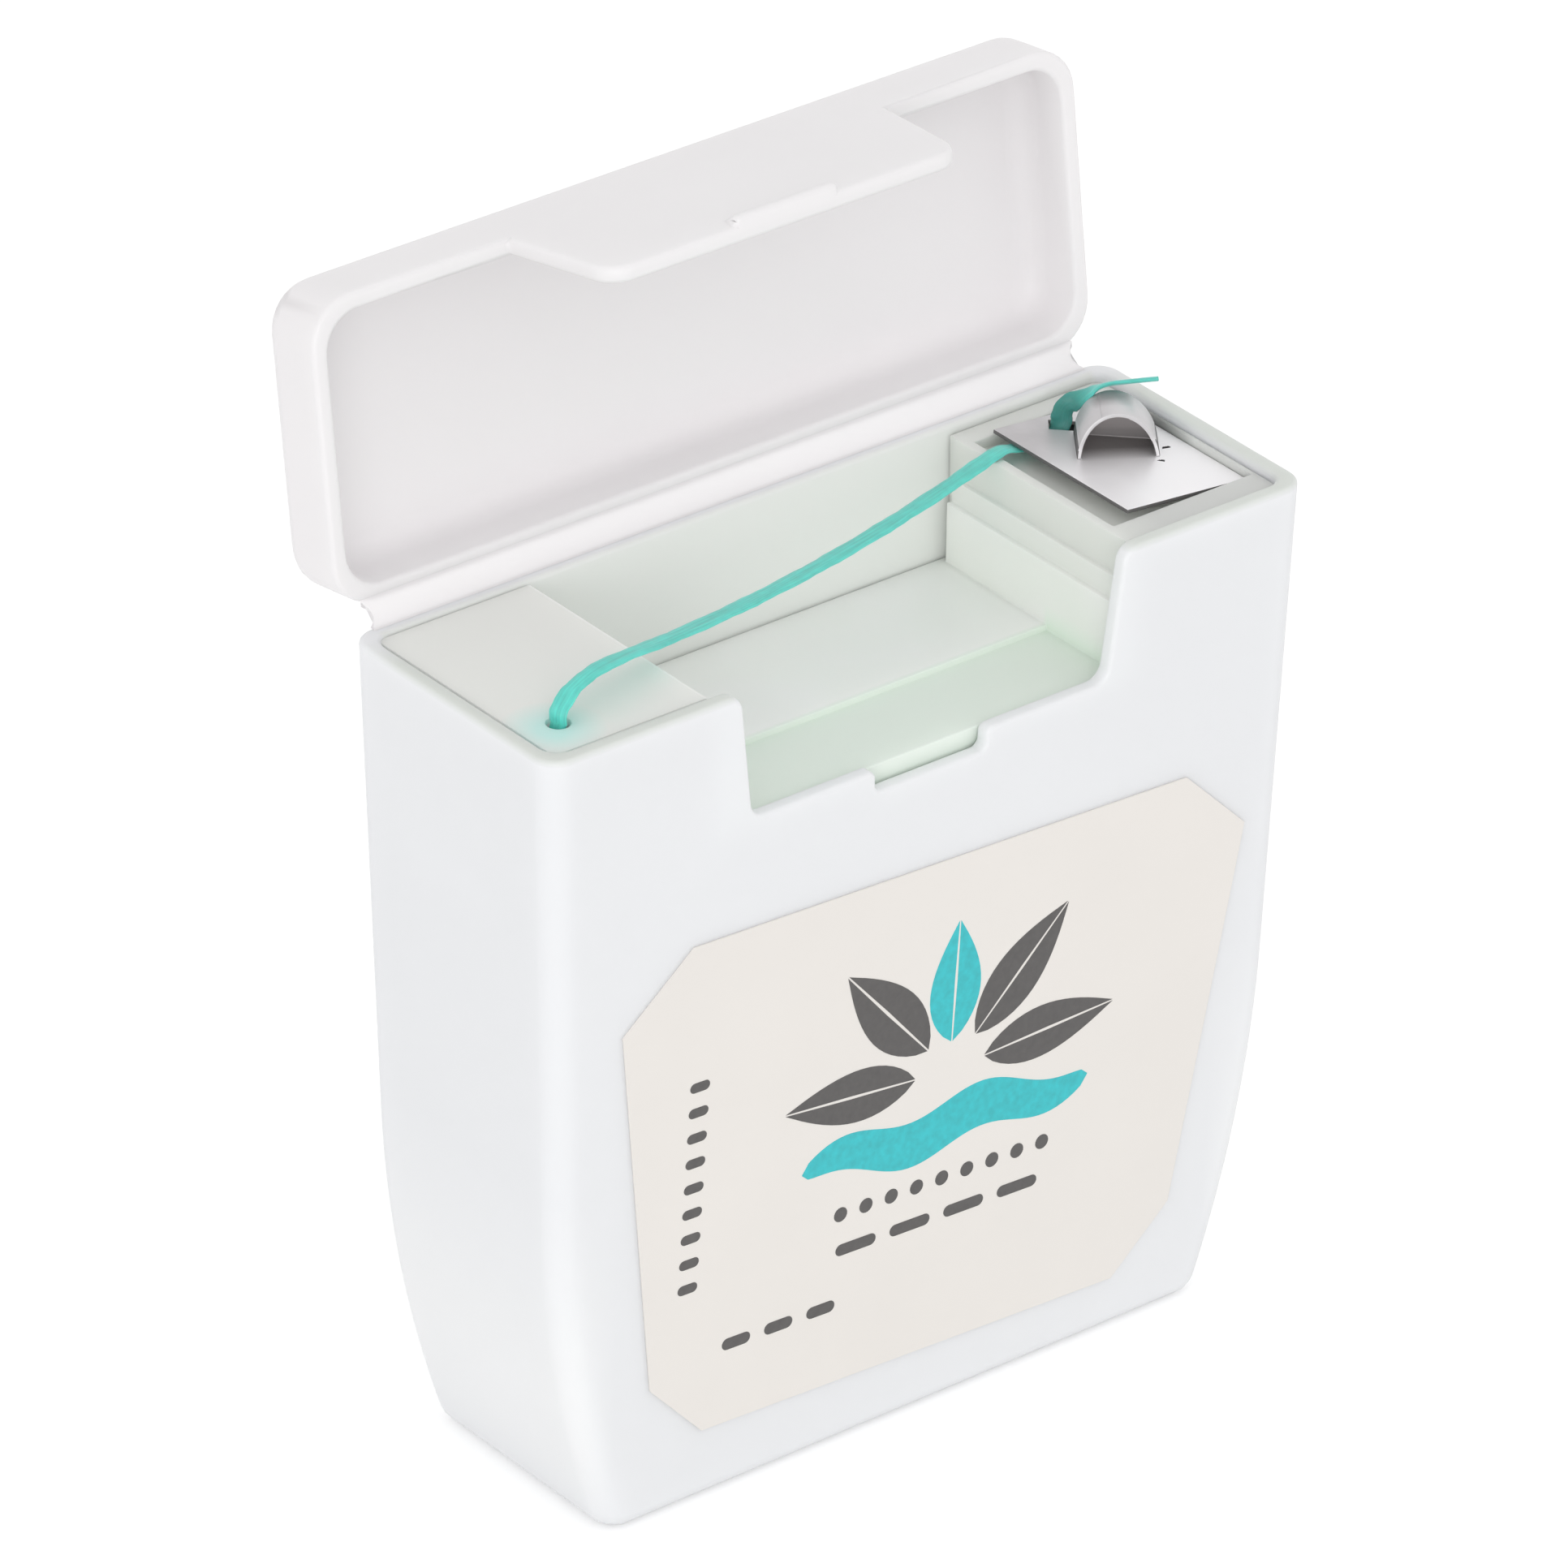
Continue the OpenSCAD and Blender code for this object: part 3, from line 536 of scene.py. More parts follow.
def rod(name, diameter, start, end, sides=ROD_SIDES):
    """A round bar along Y or Z between two points."""
    start, end = Vector(start), Vector(end)
    along = end - start
    bpy.ops.mesh.primitive_cylinder_add(vertices=sides, radius=diameter / 2, depth=along.length,
                                        location=(start + end) / 2)
    piece = bpy.context.object
    piece.name = name
    piece.rotation_euler = along.to_track_quat("Z", "Y").to_euler()
    fix_place(piece)
    return piece


def lathe(name, profile, centre):
    """A closed profile of radius and place along Y, spun about a line along Y."""
    bpy.ops.mesh.primitive_circle_add(vertices=len(profile), fill_type="NOTHING")
    piece = bpy.context.object
    piece.name = name
    for vertex, (radius, along) in zip(piece.data.vertices, profile):
        vertex.co = (centre.x + radius, along, centre.z)
    with editing(piece):
        bpy.ops.mesh.select_all(action="SELECT")
        bpy.ops.mesh.spin(steps=ROUND_SIDES, angle=math.tau, center=(centre.x, 0, centre.z), axis=(0, 1, 0))
        bpy.ops.mesh.select_all(action="SELECT")
        bpy.ops.mesh.remove_doubles(threshold=TOUCH)
        bpy.ops.mesh.normals_make_consistent(inside=False)
    return piece


def soften(piece, width, steps=2):
    """Rounds a piece's sharp edges a little."""
    with editing(piece):
        bpy.ops.mesh.select_all(action="SELECT")
        bpy.ops.mesh.remove_doubles(threshold=width / 10)
        bpy.ops.mesh.dissolve_limited(angle_limit=math.radians(MERGED_UNDER))
    apply_modifier(piece, "BEVEL", width=width, segments=steps, limit_method="ANGLE",
                   angle_limit=math.radians(ROUNDED_PAST), use_clamp_overlap=False, loop_slide=False)


def settle(piece, name, body, node=None, weighted=True):
    """Brings a finished piece to metres, smooths its shading, gives it its name and body, and hides its node."""
    fix_place(piece)
    piece.scale = (MM, MM, MM)
    fix_place(piece)
    bpy.ops.object.shade_smooth_by_angle(angle=math.radians(SHARP_PAST))
    if weighted:
        apply_modifier(piece, "WEIGHTED_NORMAL", keep_sharp=True)
    piece.name = piece.data.name = name
    if node:
        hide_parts(node)
    if body:
        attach(piece, body)
    return piece


def mark(piece, name, test):
    """Writes a number for each corner of a piece's faces, which a finish reads; test gets the face and the place."""
    marks = piece.data.attributes.new(name, "FLOAT", "CORNER")
    for face in piece.data.polygons:
        for corner in face.loop_indices:
            place = piece.data.vertices[piece.data.loops[corner].vertex_index].co / MM
            marks.data[corner].value = float(test(face, place))


def finish_with(piece, material):
    """Gives a piece one material."""
    piece.data.materials.clear()
    piece.data.materials.append(material)


class Finish:
    """A material with its principled shader, and short ways to feed it."""

    def __init__(self, name, **constants):
        self.material = bpy.data.materials.new(name)
        self.material.use_nodes = True
        self.nodes, self.links = self.material.node_tree.nodes, self.material.node_tree.links
        self.shader = self.nodes["Principled BSDF"]
        for socket, value in constants.items():
            self.shader.inputs[socket.replace("_", " ")].default_value = value
        self.places = self.nodes.new("ShaderNodeTexCoord").outputs["Object"]

    def node(self, kind, inputs=(), **values):
        """A node with these values, whose inputs are numbers, colours or sockets by name or index."""
        node = self.nodes.new(kind)
        for name, value in values.items():
            setattr(node, name, value)
        for name, value in dict(inputs).items():
            if isinstance(value, bpy.types.NodeSocket):
                self.links.new(value, node.inputs[name])
            else:
                node.inputs[name].default_value = value
        return node

    def stretched(self, scale, turned=(0, 0, 0), source=None):
        """The piece's own coordinates, turned and stretched."""
        inputs = {"Vector": source or self.places, "Rotation": turned, "Scale": scale}
        return self.node("ShaderNodeMapping", inputs).outputs["Vector"]

    def noise(self, scale, detail=2, source=None):
        """Cloudy variation from 0 to 1; scale counts its features to the metre."""
        inputs = {"Vector": source or self.places, "Scale": scale, "Detail": detail}
        return self.node("ShaderNodeTexNoise", inputs).outputs["Fac"]

    def ranged(self, value, low, high, to_low, to_high):
        """A value carried from one range to another, kept inside it."""
        inputs = {"Value": value, "From Min": low, "From Max": high, "To Min": to_low, "To Max": to_high}
        return self.node("ShaderNodeMapRange", inputs).outputs["Result"]

    def math(self, operation, first, second=0):
        """The result of an operation on one or two values."""
        return self.node("ShaderNodeMath", {0: first, 1: second}, operation=operation).outputs[0]

    def product(self, first, *others):
        """Values multiplied together."""
        for other in others:
            first = self.math("MULTIPLY", first, other)
        return first

    def spread(self, noise, low=0, high=1):
        """The middle of a noise's range, where most of it lies, carried to another range."""
        return self.ranged(noise, 0.3, 0.7, low, high)

    def rise(self, value, start, end):
        """A share that goes from zero to one while a value goes from start to end, both in millimetres."""
        return self.ranged(value, start * MM, end * MM, 0, 1)

    def marked(self, name):
        """The number that each corner of the piece's faces carries under a name."""
        return self.node("ShaderNodeAttribute", attribute_name=name).outputs["Fac"]

    def between(self, share, first, second):
        """A colour between two others."""
        node = self.node("ShaderNodeMix", {"Factor": share}, data_type="RGBA")
        for name, value in (("A", first), ("B", second)):
            socket = [i for i in node.inputs if i.name == name and i.type == "RGBA"][0]
            if isinstance(value, bpy.types.NodeSocket):
                self.links.new(value, socket)
            else:
                socket.default_value = (*value[:3], 1)
        return [o for o in node.outputs if o.type == "RGBA"][0]

    def axis(self, name):
        """One of the piece's own coordinates, in metres."""
        return self.node("ShaderNodeSeparateXYZ", {0: self.places}).outputs[name]

    def near(self, point, inner, outer):
        """One within a distance of a point, and zero past another distance, all in millimetres."""
        inputs = {0: self.places, 1: tuple(value * MM for value in point)}
        away = self.node("ShaderNodeVectorMath", inputs, operation="DISTANCE").outputs["Value"]
        return self.rise(away, outer, inner)

    def past(self, point, direction):
        """How far, in metres, a place lies past a point in a direction."""
        inputs = {0: self.places, 1: tuple(direction)}
        along = self.node("ShaderNodeVectorMath", inputs, operation="DOT_PRODUCT").outputs["Value"]
        return self.math("SUBTRACT", along, Vector(point).dot(direction) * MM)

    def layered(self, base, *layers):
        """A colour with others laid over it, each of them given as its share and its colour."""
        for share, colour in layers:
            base = self.between(share, base, colour)
        return base

    def bumps(self, height, distance, strength=1, under=None):
        """A normal from a height of a distance in metres."""
        inputs = {"Height": height, "Distance": distance, "Strength": strength}
        if under:
            inputs["Normal"] = under
        return self.node("ShaderNodeBump", inputs).outputs["Normal"]

    def feed(self, **sockets):
        """Links sockets to the shader's inputs."""
        for name, socket in sockets.items():
            self.links.new(socket, self.shader.inputs[name.replace("_", " ")])
        return self.material


def shade(colour, factor):
    """A colour made darker or lighter."""
    return tuple(min(channel * factor, 1) for channel in colour[:3])


def heading(angle):
    """The level direction that is turned by an angle from straight back towards the right."""
    return Vector((math.sin(angle), math.cos(angle), 0))


def moulded_plastic(name, colour, roughness=0.4, glow=0.8, depth=0.003, dress=None):
    """Satin translucent polypropylene: faint clouds in its colour, and the fine grain of a spark-eroded mould."""
    finish = Finish(name, Subsurface_Weight=glow, Subsurface_Radius=(1, 1, 1), Subsurface_Scale=depth, IOR=1.49)
    clouds = finish.spread(finish.noise(110, 3))
    grain = finish.noise(5200, 2)
    flow = finish.noise(420, 2)
    normal = finish.bumps(grain, 0.000006, 0.35)
    normal = finish.bumps(flow, 0.00003, 0.2, normal)
    base = finish.between(clouds, shade(colour, 0.985), colour)
    return finish.feed(
        Base_Color=dress(finish, base) if dress else base,
        Roughness=finish.spread(flow, roughness - 0.04, roughness + 0.05),
        Normal=normal,
    )


def case_plastic(s, finishes):
    """The case's polypropylene, with painted shade tinted like the insert on its rim and its inner back wall, and
    painted light from the floor on its sides below.
    """
    case, at = s.case, s.at
    face, end = case.depth / 2 - case.wall, case.width / 2 - case.wall

    def dress(finish, base):
        height, depth = finish.axis("Z"), finish.axis("Y")
        sideways = finish.math("ABSOLUTE", finish.axis("X"))
        # Painted shade on the rim, tinted like the insert
        rim = finish.product(finish.rise(height, case.height - 0.3, case.height),
                             finish.rise(depth, at.half_depth, at.half_depth - 2.5))
        # Painted shade on the back wall deep inside the case
        back_wall_shade = finish.product(
            finish.rise(height, at.well_z - 2, at.well_z - 1),
            finish.rise(depth, face + 0.3, face + 0.1),
            finish.rise(depth, face - 0.9, face - 0.4),
            finish.rise(sideways, end - 0.3, end - 0.6),
        )
        # Painted light from the floor, paler low on the case's sides
        low_side_light = finish.product(finish.rise(height, 0.45 * case.height, 0),
                                  finish.rise(sideways, 0.4 * case.width, 0.45 * case.width))
        return finish.layered(base, (rim, finishes.rim), (back_wall_shade, finishes.inner_wall_shade),
                              (low_side_light, shade(finishes.case, 1.14)))

    return moulded_plastic("case_plastic", finishes.case, glow=0.45, depth=0.0012, dress=dress)


def lid_plastic(finishes):
    """The lid's polypropylene, with painted shade in its hollow."""
    def dress(finish, base):
        return finish.between(finish.marked("hollow"), base, shade(finishes.lid, 0.86))

    return moulded_plastic("lid_plastic", finishes.lid, glow=0.6, depth=0.002, dress=dress)


def insert_plastic(s, finishes):
    """The insert's greener polypropylene with pale patches, painted shade on the tower, the front strip and the
    tower's top before the cutter, a painted shadow under the arch, the floss painted glowing round its outlet and
    painted light in its bore.
    """
    at, wall = s.at, s.insert.wall
    outlet, arch = outlet_mouth(s), arch_mouth(s)

    def dress(finish, base):
        across, depth, height = finish.axis("X"), finish.axis("Y"), finish.axis("Z")
        patches = finish.ranged(finish.noise(210, 1), 0.42, 0.6, 0, 0.6)
        # Painted shade on the tower
        tower = finish.rise(across, at.well_right - 0.8, at.well_right)
        platform = finish.rise(across, at.well_left, at.well_left - 0.2)
        # Painted shade and tint on the front strip of the well's floor
        front_strip_shade = finish.product(finish.rise(depth, at.front_step + 0.3, at.front_step),
                                     finish.rise(height, at.well_z + 1, at.well_z))
        # Painted shade on the tower's top in front of the cutter
        tray_border_shade = finish.product(finish.rise(across, at.well_right, at.well_right + 2.5),
                                     finish.rise(depth, at.plate_front + 0.2, at.plate_front - 0.4))
        tray_shadow = finish.near(arch + Vector((1.5, 2, 0)), 2, 3.6)
        # Painted light: the floss's colour glowing through the plastic round its outlet
        outlet_glow = finish.product(finish.near(outlet + Vector((-0.5, -0.3, 0)), 0.7, 2.4), 0.75)
        # Painted light that brightens the shaded inside of the floss outlet
        outlet_bore_light = finish.near(outlet - Vector((0, 0, wall)), wall - 0.05, wall)
        return finish.layered(
            base,
            (patches, shade(finishes.insert, 1.05)),
            (tower, shade(finishes.insert, 0.8)),
            (platform, finishes.platform),
            (front_strip_shade, finishes.front_strip_shade),
            (tray_border_shade, finishes.tray_border_shade),
            (tray_shadow, finishes.tray_shadow),
            (outlet_glow, finishes.outlet_glow),
            (outlet_bore_light, finishes.outlet_bore_light),
        )

    return moulded_plastic("insert_plastic", finishes.insert, roughness=0.34, glow=0.45, depth=0.0015, dress=dress)


def sheet_steel(s, finishes):
    """Stamped sheet steel: faint rolling lines and scuffs, with painted shade and reflections at the back left, along
    the arch's crown and flanks, under and inside the arch and on its cut edges.
    """
    cutter, at = s.cutter, s.at
    finish = Finish("cutter_steel", Metallic=0.3, Specular_IOR_Level=0.3)
    lines = finish.noise(900, 4, finish.stretched((9, 0.5, 9)))
    scuffs = finish.noise(700, 5)
    normal = finish.bumps(lines, 0.000002, 0.3)
    normal = finish.bumps(scuffs, 0.000003, 0.2, normal)

    arch, height = arch_mouth(s), finish.axis("Z")
    crown = at.tray_z + cutter.arch_height + cutter.sheet
    # Painted shade and reflection: darker at the plate's back left, at the arch's crown and on its upper flanks,
    # broken up by scuffs
    back_left = finish.near((at.plate_right - cutter.width, at.plate_back, at.tray_z), 2.6, 6.4)
    top = finish.product(finish.rise(height, crown - 0.6, crown + 0.1),
                         finish.near(arch + Vector((1.2, 2.2, 2.4)), 0.8, 2.6))
    flank = finish.product(finish.rise(height, at.tray_z + 0.7, at.tray_z + 1.5), 0.55)
    shade_and_scuffs = finish.math("MAXIMUM", finish.product(back_left, 0.62), finish.math("MAXIMUM", top, flank))
    shade_and_scuffs = finish.product(shade_and_scuffs, finish.ranged(scuffs, 0.3, 0.6, 0.85, 1))

    # Painted shade on the plate under the arch, from its askew mouth back to its wall
    inwards = finish.past(arch, heading(cutter.arch_turn - cutter.arch_skew))
    backwards = finish.past(arch, heading(cutter.arch_turn))
    sideways = finish.math("ABSOLUTE", finish.past(arch, heading(cutter.arch_turn + math.pi / 2)))
    inner, back = cutter.arch_width / 2 - cutter.sheet, cutter.arch_length - cutter.sheet
    arch_floor_shade = finish.product(
        finish.rise(inwards, -0.15, 1.1),
        finish.rise(sideways, inner + 0.1, inner + 0.02),
        finish.rise(backwards, back, back - cutter.sheet),
        finish.rise(height, at.tray_z + 0.9, at.tray_z + 0.8),
    )
    return finish.feed(
        Base_Color=finish.layered(
            finish.between(shade_and_scuffs, finishes.steel, finishes.shaded_steel),
            (finish.marked("cut_edge"), finishes.cut_edge),
            (finish.marked("inside_arch"), finishes.inside_arch),
            (arch_floor_shade, finishes.arch_floor_shade),
        ),
        Roughness=finish.spread(lines, 0.36, 0.46),
        Normal=normal,
    )


def waxed_floss(colour):
    """Waxed flat filaments that run along the ribbon, with wax flecks, and painted shade where it folds behind the
    arch.
    """
    finish = Finish("floss_waxed", Sheen_Weight=0.25, Sheen_Roughness=0.4, Subsurface_Weight=0.2,
                    Subsurface_Scale=0.0004, Coat_Weight=0.15, Coat_Roughness=0.35)
    ribbon = finish.nodes.new("ShaderNodeUVMap").outputs["UV"]
    strands = finish.noise(1, 3, finish.stretched((26, 3, 1), source=ribbon))
    lumps = finish.noise(1, 2, finish.stretched((5, 14, 1), source=ribbon))
    tone = finish.math("ADD", finish.product(strands, 0.65), finish.product(lumps, 0.35))
    tone = finish.ranged(tone, 0.36, 0.64, 0, 1)
    base = finish.between(tone, shade(colour, 0.86), shade(colour, 1.14))
    return finish.feed(
        # Painted shade where the floss folds behind the arch
        Base_Color=finish.between(finish.marked("fold"), base, shade(colour, 0.4)),
        Roughness=finish.spread(lumps, 0.42, 0.6),
        Normal=finish.bumps(strands, 0.00005, 0.7),
    )


def wound_floss(colour):
    """The winding's turns, which run round its axis."""
    finish = Finish("floss_winding", Sheen_Weight=0.25, Sheen_Roughness=0.4)
    turns = finish.noise(1400, 3, finish.stretched((0.15, 1, 0.15)))
    return finish.feed(
        Base_Color=finish.between(finish.spread(turns), shade(colour, 0.75), shade(colour, 1.3)),
        Roughness=finish.spread(turns, 0.45, 0.6),
        Normal=finish.bumps(turns, 0.00006, 0.6),
    )


def label_stock(colour):
    """Smooth sticker paper with faint fibres."""
    finish = Finish("label_paper", Specular_IOR_Level=0.35)
    fibres = finish.noise(900, 4, finish.stretched((1, 1, 3)))
    clouds = finish.noise(160, 2)
    return finish.feed(
        Base_Color=finish.between(finish.spread(clouds), shade(colour, 0.985), colour),
        Roughness=finish.spread(fibres, 0.5, 0.62),
        Normal=finish.bumps(fibres, 0.00001, 0.3),
    )


def printing_ink(name, colour):
    """Screen-printed ink with a little unevenness."""
    finish = Finish(name, Specular_IOR_Level=0.4)
    spots = finish.noise(2600, 3)
    return finish.feed(
        Base_Color=finish.between(finish.spread(spots), shade(colour, 0.9), shade(colour, 1.1)),
        Roughness=finish.spread(spots, 0.42, 0.55),
        Normal=finish.bumps(spots, 0.000008, 0.3),
    )


def smooth_route(points):
    """A smooth curve through points."""
    points = [Vector(p) for p in points]
    ends = [2 * points[0] - points[1], *points, 2 * points[-1] - points[-2]]
    route = []
    for a, b, c, d in zip(ends, ends[1:], ends[2:], ends[3:]):
        for step in range(ROUTE_STEPS):
            t = step / ROUTE_STEPS
            route.append(0.5 * (2 * b + (c - a) * t + (2 * a - 5 * b + 4 * c - d) * t * t
                                + (3 * b - 3 * c + d - a) * t * t * t))
    return [*route, points[-1]]


# The ribbon's width wavers about this share of its size, by waves whose height is a share of it too. Each wave is
# given as its height, its radians to the millimetre of ribbon, and its start in radians
WAVER_ABOUT = 0.97
WAVER = ((0.05, 1.9, 0), (0.035, 5.3, 1), (0.02, 11.7, 2))
# Depth of the grooves along the ribbon, as a share of half its thickness, and how many of them lie round it
GROOVE_DEPTH = 0.16
GROOVES = 6
# Length of ribbon, in millimetres, over which its texture is drawn once
TEXTURE_LENGTH = 10


def ribbon(name, route, width, thickness):
    """A flat ribbon along a route whose points are X, Y, Z and the plan angle and the rise of the ribbon's width."""
    mesh = bmesh.new()
    uv = mesh.loops.layers.uv.new("UVMap")
    rings, travelled = [], 0
    for k, entry in enumerate(route):
        here = entry.xyz
        before, after = route[max(k - 1, 0)].xyz, route[min(k + 1, len(route) - 1)].xyz
        travelled += (here - before).length
        along = (after - before).normalized()
        plan, rise = entry[3], entry[4]
        flat = Vector((math.cos(plan) * math.cos(rise), math.sin(plan) * math.cos(rise), math.sin(rise)))
        across = (flat - flat.dot(along) * along).normalized()
        out = along.cross(across)
        swell = WAVER_ABOUT + sum(height * math.sin(travelled * rate + start) for height, rate, start in WAVER)
        ring = []
        for side in range(RIBBON_SIDES):
            angle = math.tau * side / RIBBON_SIDES
            groove = 1 - GROOVE_DEPTH * (0.5 - 0.5 * math.cos(GROOVES * angle)) * math.sin(angle) ** 2
            ring.append(mesh.verts.new(
                here + across * width / 2 * math.cos(angle) * swell
                + out * thickness / 2 * math.sin(angle) * groove))
        rings.append((ring, travelled))
    for (ring, low), (next_ring, high) in zip(rings, rings[1:]):
        for side in range(RIBBON_SIDES):
            other = (side + 1) % RIBBON_SIDES
            face = mesh.faces.new((ring[side], next_ring[side], next_ring[other], ring[other]))
            for loop, corner, place in zip(face.loops, (side, side, side + 1, side + 1), (low, high, high, low)):
                loop[uv].uv = (corner / RIBBON_SIDES, place / TEXTURE_LENGTH)
    mesh.faces.new(rings[0][0])
    mesh.faces.new(list(reversed(rings[-1][0])))
    bmesh.ops.recalc_face_normals(mesh, faces=mesh.faces)
    data = bpy.data.meshes.new(name)
    mesh.to_mesh(data)
    mesh.free()
    piece = bpy.data.objects.new(name, data)
    bpy.context.scene.collection.objects.link(piece)
    return piece


# Floss on the platform, from the outlet's mouth: X, Y, Z, and the plan angle and the rise of the ribbon's width
FROM_OUTLET = (
    (0, 0, 0, 105, 0), (0, 0, 0.5, 105, 0), (0.4, 0.1, 0.9, 105, 0), (1, 0.25, 1.25, 105, 0),
    (2.4, 0.6, 1.45, 105, 0), (4.2, 1.05, 1.3, 105, 0),
)
# Floss over the tower's edge, under the plate, up through the slit and round the arch, from the arch's mouth
ROUND_ARCH = (
    (-4.65, 3.35, 0.7, 103, 0), (-3.75, 3.55, 0.68, 103, 0), (-2.95, 3.65, 0.45, 103, 0),
    (-1.65, 3.85, 0.3, 103, 0), (-0.75, 3.9, 0.27, 103, 0), (-0.3, 3.93, 0.38, 112, 0),
    (-0.1, 3.93, 0.75, 128, 0), (-0.08, 3.9, 1.15, 140, 0), (0, 3.75, 1.6, 138, -5), (0.35, 3.4, 1.95, 120, -12),
    (0.76, 3.08, 2.3, 95, -20), (1.1, 2.8, 2.6, 70, -27), (1.5, 2.5, 2.77, 52, -30), (1.95, 2.2, 2.83, 51, -30),
    (2.57, 1.72, 2.93, 51, -30), (3.25, 1.25, 3, 51, -30),
)
# Points of the span over the well, and steps of the feed
SPAN_POINTS = 9
FEED_STEPS = 10
# Plan angles, in degrees, of the feed's width where it leaves the winding and where it goes through the outlet
OFF_WINDING = 90
THROUGH_OUTLET = 105
# Where the floss folds behind the arch, from the arch's mouth, and how far from there painted shade darkens it
FOLD, FOLD_SHADE_REACH = (-0.05, 3.85, 1.2), 1.9


def outlet_mouth(s):
    """The middle of the outlet at the platform's level."""
    return Vector((s.insert.outlet_from_left - s.at.half_width, s.insert.outlet_from_front - s.at.half_depth,
                   s.at.platform_z))


def offsets(table, place):
    """A table's entries as points from a place, with their angles in radians."""
    return [Vector((*(place + Vector(entry[:3])), *map(math.radians, entry[3:]))) for entry in table]


def arch_mouth(s):
    """The middle of the arch's mouth at the tray's level."""
    return Vector((s.at.plate_right - s.cutter.arch_from_right, s.at.plate_front + s.cutter.arch_from_front,
                   s.at.tray_z))


def strand_route(s):
    """Route of the floss outside the case, from the outlet to its cut end."""
    first, last = offsets(FROM_OUTLET, outlet_mouth(s)), offsets(ROUND_ARCH, arch_mouth(s))
    span = []
    for step in range(1, SPAN_POINTS + 1):
        share = step / (SPAN_POINTS + 1)
        drop = 4 * s.floss.sag * share * (1 - share)
        span.append(first[-1].lerp(last[0], share) - Vector((0, 0, drop, 0, 0)))
    return [*first, *span, *last]


def feed_route(s):
    """Route of the floss inside the case, off the winding on a tangent and up to the outlet."""
    mouth = outlet_mouth(s)
    under = mouth - Vector((0, 0, s.insert.wall + s.floss.thickness))
    run = Vector((under.x - s.at.spindle.x, under.z - s.at.spindle.z))
    reach = s.bobbin.winding / 2 + s.floss.thickness
    turned = math.atan2(run.y, run.x) + math.acos(reach / run.length)
    off = Vector((reach * math.cos(turned) + s.at.spindle.x, s.at.spindle.y,
                  reach * math.sin(turned) + s.at.spindle.z))
    angle = math.radians(THROUGH_OUTLET)
    start, end = Vector((*off, math.radians(OFF_WINDING), 0)), Vector((*under, angle, 0))
    return [*(start.lerp(end, step / FEED_STEPS) for step in range(FEED_STEPS + 1)), Vector((*mouth, angle, 0))]


def aim(place, target, roll=0.0):
    """A matrix at a place that looks at a target."""
    back = (place - target).normalized()
    right = Vector((0, 0, 1)).cross(back).normalized()
    up = back.cross(right)
    right, up = math.cos(roll) * right + math.sin(roll) * up, math.cos(roll) * up - math.sin(roll) * right
    return Matrix.Translation(place) @ Matrix((right, up, back)).transposed().to_4x4()


# Lamps: the name, the place and the size in metres, and the setting that holds the power
LAMPS = (
    ("key_lamp", (-0.66, -0.76, 0.12), 0.6, "key_level"),
    ("fill_lamp", (0.8, -0.35, 0.9), 0.9, "fill_level"),
)
# The point that the lamps look at, the floor's radius, and how far it lies below the base, in metres
LIT_POINT = (0, 0, 0.025)
FLOOR_RADIUS = 4
FLOOR_DROP = 0.00002
SENSOR_WIDTH = 36


